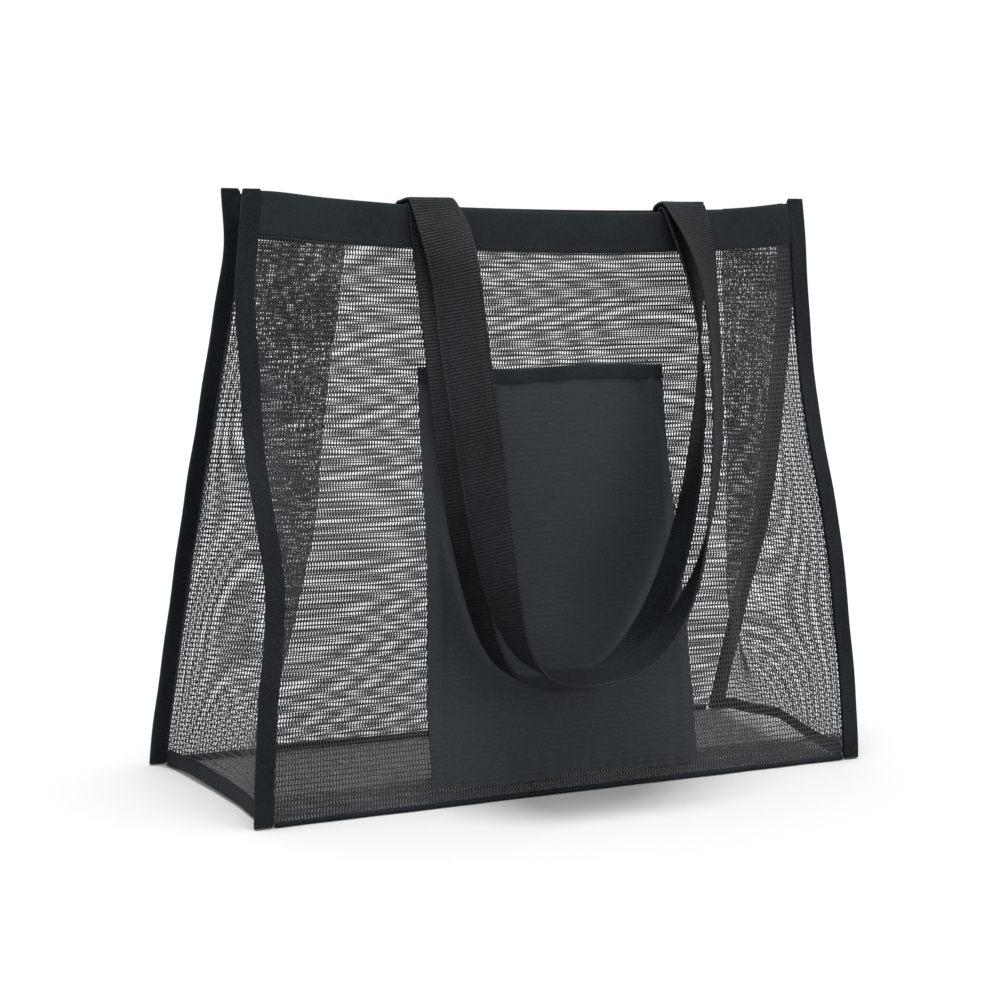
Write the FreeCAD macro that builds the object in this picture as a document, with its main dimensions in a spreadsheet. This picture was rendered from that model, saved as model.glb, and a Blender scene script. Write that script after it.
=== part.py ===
import FreeCAD
import Part
import Sketcher
import math
import os

# A see-through mesh tote with folded side gussets, a patch pocket and two long webbing handles.
# Millimetres, +Z up. The origin is the middle of the base, on the surface that the bag stands on.
# +X runs along the width, -Y is the front, where both handles hang.

os.makedirs("parts", exist_ok=True)
doc = FreeCAD.newDocument("mesh_tote")

# ---- driving dimensions -------------------------------------------------------------------------
SIZES = {
    "base_width": 440,           # outside width at the base
    "base_depth": 176,           # outside depth at the base
    "rim_width": 404,            # outside width at the rim
    "rim_height": 372,           # height of the middle of the rim
    "front_rim_offset": 22,      # the front rim stands this far in front of the middle of the base
    "back_rim_offset": 2,        # the back rim stands this far behind it
    "corner_rise": 8,            # the corner bindings stand up above the middle of the rim
    "mesh_thickness": 1.2,
    "hem_height": 25,
    "hem_thickness": 3,
    "gusset_hem_thickness": 2,
    "binding_width": 11,
    "binding_thickness": 4,
    "base_seam_height": 8,
    "base_seam_width": 5,
    "fold_depth": 80,            # how far the gusset's fold reaches in at the rim
    "fold_start": 8,             # and at the base
    "pocket_centre": -5,
    "pocket_width": 196,         # at its bottom
    "pocket_mouth_width": 180,
    "pocket_bottom": 12,         # along the leaning front panel
    "pocket_mouth_drop": 102.8,  # the pocket's mouth lies this far below the rim
    "pocket_wall": 1.2,
    "pocket_depth": 5.4,         # clear space between the panel and the pocket's face
    "pocket_hem_height": 9,
    "pocket_hem_thickness": 1.8,
    "tack_width": 3,
    "tack_thickness": 0.4,
    "strap_width": 32,
    "strap_thickness": 2,
    "handle_centre": 15,
    "handle_spacing": 188,       # between the middles of a handle's two ends
    "front_handle_drop": 309,
    "handle_drop_step": 7,       # the back handle hangs this much less far
    "tab_overlap": 23,           # how far a sewn end reaches down inside the hem
    "stitch_margin": 3,
    "stitch_thickness": 0.5,
    "thread_width": 1.5,
    "fold_clearance": 0.3,       # between a moving strap and what it turns beside
    "strap_gap": 0.4,            # between the two straps where they lie on each other
    "seam_clearance": 0.3,
}

sheet = doc.addObject("Spreadsheet::Sheet", "Sizes")
for row, (alias, number) in enumerate(SIZES.items(), start=1):
    sheet.set(f"A{row}", alias)
    sheet.set(f"B{row}", str(number))
    sheet.setAlias(f"B{row}", alias)
doc.recompute()


def size(alias):
    """The number that a cell of the sheet holds."""
    return float(sheet.get(alias))


# ---- the two leaning walls ------------------------------------------------------------------------
# Each wall has a flat frame of its own: x along the rim, v up the wall from the base, n outwards.
class Wall:
    """A leaning wall: where its foot stands, how it leans, and which way is outwards."""

    def __init__(self, name, outwards, rim_alias):
        self.name = name
        self.outwards = outwards  # -1 for the front (towards -Y), +1 for the back
        self.run = f"(Sizes.base_depth / 2 - Sizes.{rim_alias})"
        self.lean_text = f"atan({self.run} / Sizes.rim_height)"
        self.length_text = f"(Sizes.rim_height / cos({self.lean_text}))"
        self.lean = math.atan((size("base_depth") / 2 - size(rim_alias)) / size("rim_height"))
        self.length = size("rim_height") / math.cos(self.lean)

    def point(self, x, v, n):
        """A point of the wall's frame, in the bag's frame."""
        foot = self.outwards * size("base_depth") / 2
        y = foot - self.outwards * v * math.sin(self.lean) + self.outwards * n * math.cos(self.lean)
        z = v * math.cos(self.lean) + n * math.sin(self.lean)
        return FreeCAD.Vector(x, y, z)

    def mid_y(self, z):
        """Where the middle of the wall's thickness stands at height z."""
        return self.outwards * (size("base_depth") / 2 - z * math.tan(self.lean))


FRONT = Wall("front", -1, "front_rim_offset")
BACK = Wall("back", 1, "back_rim_offset")


def edge_text(v_text, wall, inset_text="0"):
    """The x of the wall's side edge at height v up the wall, moved inwards by an inset."""
    slope = f"(Sizes.base_width - Sizes.rim_width) / 2 / {wall.length_text}"
    return f"(Sizes.base_width / 2 - {slope} * ({v_text}) - ({inset_text}))"


def origin_plane(body, role):
    return [f for f in body.Origin.OriginFeatures if f.Role == role][0]


def add_sketch(body, name, role, corners, offset_text="0"):
    """A closed outline of straight sides, each corner tied to the sheet by two expressions."""
    sketch = body.newObject("Sketcher::SketchObject", name)
    sketch.AttachmentSupport = [(origin_plane(body, role), "")]
    sketch.MapMode = "FlatFace"
    sketch.setExpression("AttachmentOffset.Base.z", offset_text)
    count = len(corners)
    start = [FreeCAD.Vector(100 * math.cos(2 * math.pi * i / count),
                            100 * math.sin(2 * math.pi * i / count), 0) for i in range(count)]
    for i in range(count):
        sketch.addGeometry(Part.LineSegment(start[i], start[(i + 1) % count]), False)
    for i in range(count):
        sketch.addConstraint(Sketcher.Constraint("Coincident", i, 2, (i + 1) % count, 1))
    for i, (across, up) in enumerate(corners):
        for kind, text, begin in (("DistanceX", across, start[i].x), ("DistanceY", up, start[i].y)):
            index = sketch.addConstraint(Sketcher.Constraint(kind, -1, 1, i, 1, begin))
            sketch.setExpression(f"Constraints[{index}]", text)
    return sketch


def add_pad(body, name, sketch, length_text):
    pad = body.newObject("PartDesign::Pad", name)
    pad.Profile = sketch
    pad.setExpression("Length", length_text)
    sketch.Visibility = False
    body.Tip = pad
    return pad


def lean_body(body, wall):
    """Stands a body that is drawn flat on the wall's foot, at the wall's lean."""
    body.Placement.Rotation = FreeCAD.Rotation(FreeCAD.Vector(1, 0, 0), wall.outwards * math.degrees(wall.lean))
    body.setExpression("Placement.Base.y", f"{wall.outwards} * Sizes.base_depth / 2")
    body.setExpression("Placement.Rotation.Angle", f"{wall.outwards} * {wall.lean_text}")


def wall_plate(label, wall, corners, inner_text, outer_text):
    """A flat piece on a wall: its outline in x and v, and the two depths that it lies between."""
    body = doc.addObject("PartDesign::Body", label)
    body.Label = label
    start_text = inner_text if wall.outwards < 0 else f"-({outer_text})"
    sketch = add_sketch(body, label + "_outline", "XZ_Plane", corners, start_text)
    add_pad(body, label + "_pad", sketch, f"({outer_text}) - ({inner_text})")
    lean_body(body, wall)
    return body


def band_corners(wall, low_text, high_text, inset_text):
    """The four corners of a band from edge to edge between two heights up the wall."""
    low = edge_text(low_text, wall, inset_text)
    high = edge_text(high_text, wall, inset_text)
    return [(f"-{low}", low_text), (low, low_text), (high, high_text), (f"-{high}", high_text)]


# ---- front and back: mesh, hem and corner bindings --------------------------------------------------
def make_wall_mesh(wall):
    foot = f"Sizes.base_seam_height / cos({wall.lean_text}) + Sizes.seam_clearance"
    corners = band_corners(wall, foot, f"({wall.length_text} - Sizes.hem_height)", "Sizes.binding_width")
    return wall_plate(f"{wall.name}_mesh_panel", wall, corners,
                      "-Sizes.mesh_thickness / 2", "Sizes.mesh_thickness / 2")


def make_wall_hem(wall):
    corners = band_corners(wall, f"({wall.length_text} - Sizes.hem_height)", wall.length_text,
                           "Sizes.binding_width")
    return wall_plate(f"{wall.name}_hem_band", wall, corners,
                      "-Sizes.hem_thickness / 2", "Sizes.hem_thickness / 2")


def make_corner_binding(wall, side):
    foot = f"(Sizes.binding_thickness / 2 * tan({wall.lean_text}))"
    top = f"({wall.length_text} + Sizes.corner_rise)"
    sign = "-" if side == "left" else ""
    outer_low, outer_high = edge_text(foot, wall), edge_text(top, wall)
    inner_low = edge_text(foot, wall, "Sizes.binding_width")
    inner_high = edge_text(top, wall, "Sizes.binding_width")
    corners = [(sign + outer_low, foot), (sign + inner_low, foot),
               (sign + inner_high, top), (sign + outer_high, top)]
    return wall_plate(f"{wall.name}_{side}_binding", wall, corners,
                      "-Sizes.binding_thickness / 2", "Sizes.binding_thickness / 2")


# ---- base -------------------------------------------------------------------------------------------
def make_box(label, length, width, height, x, y, z="0"):
    """A Part box whose sides and place are tied to the sheet."""
    box = doc.addObject("Part::Box", label)
    box.Label = label
    for name, text in (("Length", length), ("Width", width), ("Height", height),
                       ("Placement.Base.x", x), ("Placement.Base.y", y), ("Placement.Base.z", z)):
        box.setExpression(name, text)
    return box


SEAM_HALF_LENGTH = edge_text(f"Sizes.base_seam_height / cos({FRONT.lean_text}) + Sizes.seam_clearance",
                             FRONT, "Sizes.binding_width + Sizes.seam_clearance")
SEAM_INNER_Y = "(Sizes.base_depth / 2 - Sizes.base_seam_width / 2)"


def make_base_mesh():
    half_x = "(Sizes.base_width / 2 - Sizes.base_seam_width)"
    return make_box("bottom_mesh_panel", f"2 * {half_x}", f"2 * {SEAM_INNER_Y}", "Sizes.mesh_thickness",
                    f"-{half_x}", f"-{SEAM_INNER_Y}")


def make_long_base_seam(wall):
    low_y = f"-{SEAM_INNER_Y} - Sizes.base_seam_width" if wall.outwards < 0 else SEAM_INNER_Y
    return make_box(f"{wall.name}_bottom_binding", f"2 * {SEAM_HALF_LENGTH}", "Sizes.base_seam_width",
                    "Sizes.base_seam_height", f"-{SEAM_HALF_LENGTH}", low_y)


def corner_reach(wall):
    """How far the corner bindings reach in from the foot of a wall, over the height of the base seam."""
    return (f"(Sizes.binding_thickness / 2 / cos({wall.lean_text})"
            f" + Sizes.base_seam_height * tan({wall.lean_text}) + Sizes.seam_clearance)")


def make_side_base_seam(side):
    length = f"Sizes.base_depth - {corner_reach(FRONT)} - {corner_reach(BACK)}"
    x = "-Sizes.base_width / 2" if side == "left" else "Sizes.base_width / 2 - Sizes.base_seam_width"
    return make_box(f"{side}_bottom_binding", "Sizes.base_seam_width", length, "Sizes.base_seam_height",
                    x, f"-Sizes.base_depth / 2 + {corner_reach(FRONT)}")


# ---- gussets ------------------------------------------------------------------------------------------
def gusset_section(side, z, thickness):
    """The gusset cut across at height z: a V whose two ends lie on the corner bindings' inner faces."""
    sign = -1 if side == "left" else 1
    share = z / size("rim_height")
    edge = size("base_width") / 2 - (size("base_width") - size("rim_width")) / 2 * share
    fold_low = size("base_width") / 2 - size("fold_start")
    fold_high = size("rim_width") / 2 - size("fold_depth")
    fold = fold_low + (fold_high - fold_low) * share
    front_y = FRONT.mid_y(z) + size("binding_thickness") / 2 / math.cos(FRONT.lean)
    back_y = BACK.mid_y(z) - size("binding_thickness") / 2 / math.cos(BACK.lean)
    middle_y = (front_y + back_y) / 2
    half_gap = (back_y - front_y) / 2
    skew = thickness * math.hypot(edge - fold, half_gap) / half_gap
    corners = [(edge, front_y), (fold, middle_y), (edge, back_y),
               (edge - skew, back_y), (fold - skew, middle_y), (edge - skew, front_y)]
    return Part.makePolygon([FreeCAD.Vector(sign * x, y, z) for x, y in corners + corners[:1]])


def make_gusset(label, side, low, high, thickness):
    """A folded side piece between two heights, with straight rulings from section to section."""
    piece = doc.addObject("Part::Feature", label)
    piece.Label = label
    sections = [gusset_section(side, low, thickness), gusset_section(side, high, thickness)]
    piece.Shape = Part.makeLoft(sections, True, True)
    return piece


# ---- pocket -------------------------------------------------------------------------------------------
POCKET_TOP = f"({FRONT.length_text} - Sizes.pocket_mouth_drop)"
POCKET_SHEET_TOP = f"({POCKET_TOP} - Sizes.pocket_hem_height)"
POCKET_FACE = "(Sizes.mesh_thickness / 2 + Sizes.pocket_depth + Sizes.pocket_wall)"


def pocket_half_text(v_text):
    """Half the pocket's width at height v up the front."""
    slope = f"(Sizes.pocket_width - Sizes.pocket_mouth_width) / 2 / ({POCKET_TOP} - Sizes.pocket_bottom)"
    return f"(Sizes.pocket_width / 2 - {slope} * ({v_text} - Sizes.pocket_bottom))"


def pocket_corners(low_text, high_text, inset_text="0"):
    low, high = pocket_half_text(low_text), pocket_half_text(high_text)
    return [(f"Sizes.pocket_centre - {low} + {inset_text}", low_text),
            (f"Sizes.pocket_centre + {low} - {inset_text}", low_text),
            (f"Sizes.pocket_centre + {high} - {inset_text}", high_text),
            (f"Sizes.pocket_centre - {high} + {inset_text}", high_text)]


def make_pocket():
    """A shallow tray sewn to the front along its sides and bottom, and open at its top."""
    body = wall_plate("pocket_panel", FRONT, pocket_corners("Sizes.pocket_bottom", POCKET_SHEET_TOP),
                      "Sizes.mesh_thickness / 2", POCKET_FACE)
    inside = pocket_corners("Sizes.pocket_bottom + Sizes.pocket_wall",
                            f"{POCKET_SHEET_TOP} + Sizes.pocket_hem_height", "Sizes.pocket_wall")
    sketch = add_sketch(body, "pocket_inside", "XZ_Plane", inside, "Sizes.mesh_thickness / 2")
    doc.recompute()
    solid_volume = body.Shape.Volume
    hollow = body.newObject("PartDesign::Pocket", "pocket_hollow")
    hollow.Profile = sketch
    hollow.setExpression("Length", "Sizes.pocket_depth")
    hollow.Reversed = True
    sketch.Visibility = False
    body.Tip = hollow
    doc.recompute()
    if body.Shape.Volume > 0.5 * solid_volume:
        raise RuntimeError("the pocket is not hollow")
    return body


def make_pocket_hem():
    inner = f"{POCKET_FACE} - Sizes.pocket_wall / 2 - Sizes.pocket_hem_thickness / 2"
    outer = f"{POCKET_FACE} - Sizes.pocket_wall / 2 + Sizes.pocket_hem_thickness / 2"
    return wall_plate("pocket_top_hem", FRONT, pocket_corners(POCKET_SHEET_TOP, POCKET_TOP), inner, outer)


def make_pocket_tacks():
    """One bar tack at each end of the pocket's hem."""
    face = f"({POCKET_FACE} - Sizes.pocket_wall / 2 + Sizes.pocket_hem_thickness / 2)"
    tacks = []
    for side, sign in (("left", "-"), ("right", "+")):
        tack = doc.addObject("Part::Box", f"pocket_tack_{side}")
        tack.Label = f"pocket_tack_{side}"
        centre = f"Sizes.pocket_centre {sign} (Sizes.pocket_mouth_width / 2 - Sizes.tack_width)"
        for name, text in (("Length", "Sizes.tack_width"), ("Width", "Sizes.tack_thickness"),
                           ("Height", "Sizes.pocket_hem_height"),
                           ("Placement.Base.x", f"{centre} - Sizes.tack_width / 2"),
                           ("Placement.Base.y", f"-{face} - Sizes.tack_thickness"),
                           ("Placement.Base.z", POCKET_SHEET_TOP)):
            tack.setExpression(name, text)
        tacks.append(tack)
    return lean_group("pocket_bar_tacks", tacks, FRONT)


def lean_group(label, members, wall):
    """Joins separate solids, drawn flat, as one node and leans it with its wall."""
    group = doc.addObject("Part::Compound", label)
    group.Label = label
    group.Links = members
    lean_body(group, wall)
    return group


# ---- handles: sewn ends -----------------------------------------------------------------------------
STRAP_ENDS = {"left": "(Sizes.handle_centre - Sizes.handle_spacing / 2)",
              "right": "(Sizes.handle_centre + Sizes.handle_spacing / 2)"}


def strap_profile(label, wall, corners, centre_text):
    """A stretch of strap that is one outline in n and v, as wide as the strap."""
    body = doc.addObject("PartDesign::Body", label)
    body.Label = label
    flip = "-1 * " if wall.outwards < 0 else ""
    drawn = [(f"{flip}({n})", v) for n, v in corners]
    sketch = add_sketch(body, label + "_outline", "YZ_Plane", drawn,
                        f"{centre_text} - Sizes.strap_width / 2")
    add_pad(body, label + "_pad", sketch, "Sizes.strap_width")
    lean_body(body, wall)
    return body


HEM_IN = "-Sizes.hem_thickness / 2"
TAB_IN = "(-Sizes.hem_thickness / 2 - Sizes.strap_thickness)"


def make_front_tab(side):
    """The sewn end of the front handle: up the inside of the hem and over its top edge."""
    top, foot = FRONT.length_text, f"({FRONT.length_text} - Sizes.tab_overlap)"
    over = f"({top} + Sizes.strap_thickness)"
    corners = [(TAB_IN, foot), (HEM_IN, foot), (HEM_IN, top), ("Sizes.hem_thickness / 2", top),
               ("Sizes.hem_thickness / 2", over), (TAB_IN, over)]
    return strap_profile(f"front_handle_{side}_tab", FRONT, corners, STRAP_ENDS[side])


# The back handle crosses the mouth this high, just above the front handle's sewn ends.
CROSSING_TEXT = ("(Sizes.rim_height + Sizes.strap_thickness * 1.5 + Sizes.strap_gap * 2"
                 f" + Sizes.hem_thickness / 2 * sin({FRONT.lean_text}))")


def make_back_tab(side):
    """The sewn end of the back handle: up the inside of the back hem, as far as its turn."""
    foot = f"({BACK.length_text} - Sizes.tab_overlap)"
    stop = (f"(({CROSSING_TEXT} - Sizes.strap_thickness / 2 - Sizes.fold_clearance)"
            f" / cos({BACK.lean_text}) + Sizes.hem_thickness / 2 * tan({BACK.lean_text}))")
    corners = [(TAB_IN, foot), (HEM_IN, foot), (HEM_IN, stop), (TAB_IN, stop)]
    return strap_profile(f"back_handle_{side}_tab", BACK, corners, STRAP_ENDS[side])


def make_stitching(wall):
    """A stitched box on each of the handle's two sewn ends, inside the bag."""
    face = "(Sizes.hem_thickness / 2 + Sizes.strap_thickness)"
    low_y = face if wall.outwards < 0 else f"-{face} - Sizes.stitch_thickness"
    frames = []
    for side in ("left", "right"):
        blocks = []
        for name, margin in (("outside", "Sizes.stitch_margin"),
                             ("inside", "(Sizes.stitch_margin + Sizes.thread_width)")):
            block = doc.addObject("Part::Box", f"{wall.name}_{side}_stitch_{name}")
            for prop, text in (
                    ("Length", f"Sizes.strap_width - 2 * {margin}"), ("Width", "Sizes.stitch_thickness"),
                    ("Height", f"Sizes.tab_overlap - 2 * {margin}"),
                    ("Placement.Base.x", f"{STRAP_ENDS[side]} - Sizes.strap_width / 2 + {margin}"),
                    ("Placement.Base.y", low_y),
                    ("Placement.Base.z", f"{wall.length_text} - Sizes.tab_overlap + {margin}")):
                block.setExpression(prop, text)
            blocks.append(block)
        frame = doc.addObject("Part::Cut", f"{wall.name}_{side}_stitch_frame")
        frame.Base, frame.Tool = blocks
        frames.append(frame)
    return lean_group(f"{wall.name}_handle_stitching", frames, wall)


# ---- handles: the straps that cross the mouth -----------------------------------------------------
FRONT_STRAP_N = "(Sizes.hem_thickness / 2 + Sizes.fold_clearance + Sizes.strap_thickness / 2)"
BACK_STRAP_N = f"({FRONT_STRAP_N} + Sizes.strap_thickness + Sizes.strap_gap)"
CROSSING_FRONT_Y = (f"(-Sizes.base_depth / 2 + {CROSSING_TEXT} * tan({FRONT.lean_text})"
                    f" - {BACK_STRAP_N} / cos({FRONT.lean_text}))")
CROSSING_BACK_Y = (f"(Sizes.base_depth / 2 - {CROSSING_TEXT} * tan({BACK.lean_text})"
                   f" - (Sizes.hem_thickness + Sizes.strap_thickness) / 2 / cos({BACK.lean_text}))")


def make_crossing(side):
    """The stretch of the back handle between the back rim and the front rim, round at its turn."""
    front_end = f"({CROSSING_FRONT_Y} + Sizes.strap_thickness / 2 + Sizes.fold_clearance)"
    start = f"{STRAP_ENDS[side]} - Sizes.strap_width / 2"
    label = f"back_handle_{side}_crossing"
    flat = make_box(f"{label}_flat", "Sizes.strap_width", f"{CROSSING_BACK_Y} - {front_end}",
                    "Sizes.strap_thickness", start, front_end,
                    f"{CROSSING_TEXT} - Sizes.strap_thickness / 2")
    turn = doc.addObject("Part::Cylinder", f"{label}_turn")
    turn.Placement.Rotation = FreeCAD.Rotation(FreeCAD.Vector(0, 1, 0), 90)
    for name, text in (("Radius", "Sizes.strap_thickness / 2"), ("Height", "Sizes.strap_width"),
                       ("Placement.Base.x", start), ("Placement.Base.y", CROSSING_BACK_Y),
                       ("Placement.Base.z", CROSSING_TEXT)):
        turn.setExpression(name, text)
    strap = doc.addObject("Part::Fuse", label)
    strap.Label = label
    strap.Base, strap.Tool = flat, turn
    return strap


# ---- handles: the hanging loops ---------------------------------------------------------------------
class Loop:
    """One handle's hanging loop: a U of webbing that turns on edge towards its lowest point.

    Each side, -1 for the left and 1 for the right, has its own lists of (share of the drop, value).
    depth is how far the webbing's back edge stands off the front wall, and turn is how far the
    webbing has turned out of the wall's plane, in degrees. bulge is the power of the U's outline,
    taper is how much each side closes in towards the bottom, and sway moves the bottom sideways.
    """

    RINGS_PER_SIDE = 12

    def __init__(self, hinge_v, drop, depth, turn, bulge, taper, sway):
        self.hinge_v = hinge_v
        self.drop = drop
        self.depth = depth
        self.turn = turn
        self.bulge = bulge
        self.taper = taper
        self.sway = sway

    @staticmethod
    def between(points, share):
        """Reads a value off a list of (share, value), in straight steps."""
        for (low, first), (high, last) in zip(points, points[1:]):
            if share <= high:
                return first + (last - first) * (share - low) / (high - low)
        return points[-1][1]

    def middle(self, angle, side):
        """The x and the drop of the webbing's middle line at an angle round the U."""
        power = 2 / self.bulge[side]
        share = math.cos(angle) ** power
        across = side * abs(math.sin(angle)) ** power
        reach = size("handle_spacing") / 2 * across * (1 - self.taper[side] * share)
        return size("handle_centre") + self.sway * share ** 2.5 + reach, share * self.drop, share

    def section(self, angle, side):
        """The webbing cut across at an angle round the U, as a closed rectangle."""
        x, fall, share = self.middle(angle, side)
        step = 0.002
        ahead, behind = self.middle(angle - step, side), self.middle(angle + step, side)
        run = math.hypot(ahead[0] - behind[0], ahead[1] - behind[1])
        # the direction along the wall that points into the U, square to the middle line
        inner_x, inner_v = -side * (ahead[1] - behind[1]) / run, -side * (ahead[0] - behind[0]) / run
        turn = math.radians(self.between(self.turn[side], share))
        half_width, half_thick = size("strap_width") / 2, size("strap_thickness") / 2
        depth = self.between(self.depth[side], share) + half_width * math.sin(turn)
        wide = (inner_x * math.cos(turn), inner_v * math.cos(turn), math.sin(turn))
        thick = (-inner_x * math.sin(turn), -inner_v * math.sin(turn), math.cos(turn))
        return self.ring(x, self.hinge_v - fall, depth, wide, thick)

    def ring(self, x, v, n, wide, thick):
        """A rectangle about a point of the wall's frame, along two directions of that frame."""
        half_width, half_thick = size("strap_width") / 2, size("strap_thickness") / 2
        corners = []
        for a, b in ((-half_width, -half_thick), (half_width, -half_thick),
                     (half_width, half_thick), (-half_width, half_thick)):
            corners.append(FRONT.point(x + a * wide[0] + b * thick[0], v + a * wide[1] + b * thick[1],
                                       n + a * wide[2] + b * thick[2]))
        return Part.makePolygon(corners + corners[:1])

    def end(self, side):
        """The flat first section, at the hinge."""
        x = size("handle_centre") + side * size("handle_spacing") / 2
        return self.ring(x, self.hinge_v, self.depth[side][0][1], (-side, 0, 0), (0, 0, 1))

    def cap(self, side):
        """The webbing's round turn at the hinge: half a bar as thick as the webbing."""
        radius = size("strap_thickness") / 2
        x = size("handle_centre") + side * size("handle_spacing") / 2 - size("strap_width") / 2
        foot = FRONT.point(x, self.hinge_v, self.depth[side][0][1])
        bar = Part.makeCylinder(radius, size("strap_width"), FreeCAD.Vector(0, 0, 0), FreeCAD.Vector(1, 0, 0), 180)
        quarter = 90  # the bar is made lying on its side
        bar.rotate(FreeCAD.Vector(0, 0, 0), FreeCAD.Vector(1, 0, 0), -quarter - math.degrees(FRONT.lean))
        bar.translate(foot)
        return bar

    def lowest(self):
        """The section at the bottom of the U, where both sides meet."""
        share = 1.0
        turn = math.radians(self.between(self.turn[-1], share))
        depth = self.between(self.depth[-1], share) + size("strap_width") / 2 * math.sin(turn)
        wide = (0, math.cos(turn), math.sin(turn))
        thick = (0, -math.sin(turn), math.cos(turn))
        return self.ring(size("handle_centre") + self.sway, self.hinge_v - self.drop, depth, wide, thick)

    def solid(self):
        """The whole loop, from one hinge cap round to the other."""
        rings = {}
        for side in (-1, 1):
            rings[side] = [self.end(side)]
            for i in range(1, self.RINGS_PER_SIDE):
                angle = math.pi / 2 * (1 - (i / self.RINGS_PER_SIDE) ** 1.5)
                rings[side].append(self.section(angle, side))
        webbing = Part.makeLoft(rings[-1] + [self.lowest()] + rings[1][::-1], True, True)
        return webbing.fuse([self.cap(-1), self.cap(1)]).removeSplitter()


def make_loop(label, loop):
    """Builds one handle's hanging loop as a node of its own."""
    piece = doc.addObject("Part::Feature", label)
    piece.Label = label
    piece.Shape = loop.solid()
    return piece


# ---- assembly -------------------------------------------------------------------------------------
def all_pieces():
    """Every node of the bag, in the order that it is sewn."""
    hem_foot = size("rim_height") - size("hem_height")
    mesh_foot = size("base_seam_height") + size("seam_clearance")
    pieces = [make_base_mesh(), make_long_base_seam(FRONT), make_long_base_seam(BACK)]
    for wall in (FRONT, BACK):
        pieces += [make_wall_mesh(wall), make_wall_hem(wall)]
        pieces += [make_corner_binding(wall, side) for side in ("left", "right")]
    for side in ("left", "right"):
        pieces.append(make_side_base_seam(side))
        pieces.append(make_gusset(f"{side}_gusset_mesh", side, mesh_foot, hem_foot, size("mesh_thickness")))
        pieces.append(make_gusset(f"{side}_gusset_hem_band", side, hem_foot, size("rim_height"),
                                  size("gusset_hem_thickness")))
        pieces += [make_front_tab(side), make_back_tab(side), make_crossing(side)]
    pieces += [make_pocket(), make_pocket_hem(), make_pocket_tacks()]
    pieces += [make_stitching(FRONT), make_stitching(BACK)]
    pieces += [make_loop("front_handle_loop", front_loop()), make_loop("back_handle_loop", back_loop())]
    return pieces


def front_loop():
    """The front handle's loop, which lies against the pocket."""
    depth_at_hinge = size("hem_thickness") / 2 + size("fold_clearance") + size("strap_thickness") / 2
    depth = [(0, depth_at_hinge), (0.12, 4.5), (0.3, 9.2), (1, 9.2)]
    return Loop(
        hinge_v=FRONT.length + size("strap_thickness") / 2,
        drop=size("front_handle_drop"),
        depth={-1: depth, 1: depth},
        turn={-1: [(0, 0), (0.12, 18), (0.35, 50), (0.6, 72), (0.8, 90), (1, 105)],
              1: [(0, 0), (0.12, 30), (0.35, 62), (0.6, 78), (0.8, 90), (1, 105)]},
        bulge={-1: 2.6, 1: 3.1},
        taper={-1: 0.05, 1: 0.14},
        sway=-24,
    )


def back_loop():
    """The back handle's loop, which lies in front of the front one."""
    pitch = size("strap_thickness") + size("strap_gap")
    depth_at_hinge = size("hem_thickness") / 2 + size("fold_clearance") + size("strap_thickness") / 2 + pitch
    rise = size("strap_thickness") * 1.5 + size("strap_gap") * 2
    crossing = size("rim_height") + rise + size("hem_thickness") / 2 * math.sin(FRONT.lean)
    hinge_v = (crossing - depth_at_hinge * math.sin(FRONT.lean)) / math.cos(FRONT.lean)
    return Loop(
        hinge_v=hinge_v,
        drop=size("front_handle_drop") - size("handle_drop_step"),
        depth={-1: [(0, depth_at_hinge), (0.3, 22), (0.6, 38), (0.8, 44), (1, 45)],
               1: [(0, depth_at_hinge), (0.3, 22), (0.6, 38), (0.8, 44), (1, 45)]},
        turn={-1: [(0, 0), (0.12, 12), (0.35, 40), (0.6, 55), (0.8, 72), (1, 108)],
              1: [(0, 0), (0.12, 30), (0.35, 62), (0.6, 80), (0.8, 92), (1, 108)]},
        bulge={-1: 2.6, 1: 2.5},
        taper={-1: 0.07, 1: -0.02},
        sway=-24,
    )


def check_and_write(pieces):
    """Stops on any failed feature or bad solid, and writes each node's file."""
    doc.recompute()
    for item in doc.Objects:
        if "Invalid" in item.State or "Error" in item.State:
            raise RuntimeError(f"{item.Label} is {item.State}")
    for piece in pieces:
        shape = piece.Shape
        if shape.isNull() or not shape.isValid() or not shape.Solids:
            raise RuntimeError(f"{piece.Label} has no valid solid")
        shape.exportStep(f"parts/{piece.Label}.step")
        print(f"{piece.Label}: {len(shape.Solids)} solid(s), {shape.Volume / 1000:.2f} cm3")
    return len(pieces)


print(check_and_write(all_pieces()), "nodes written")
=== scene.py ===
"""A see-through beach bag: net walls with folded sides, a cloth pocket and two webbing handles."""

from __future__ import annotations

import logging
import math
from dataclasses import dataclass, field
from enum import Enum
from typing import Callable, Sequence

import bpy
import numpy as np
from mathutils import Matrix, Vector


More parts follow.
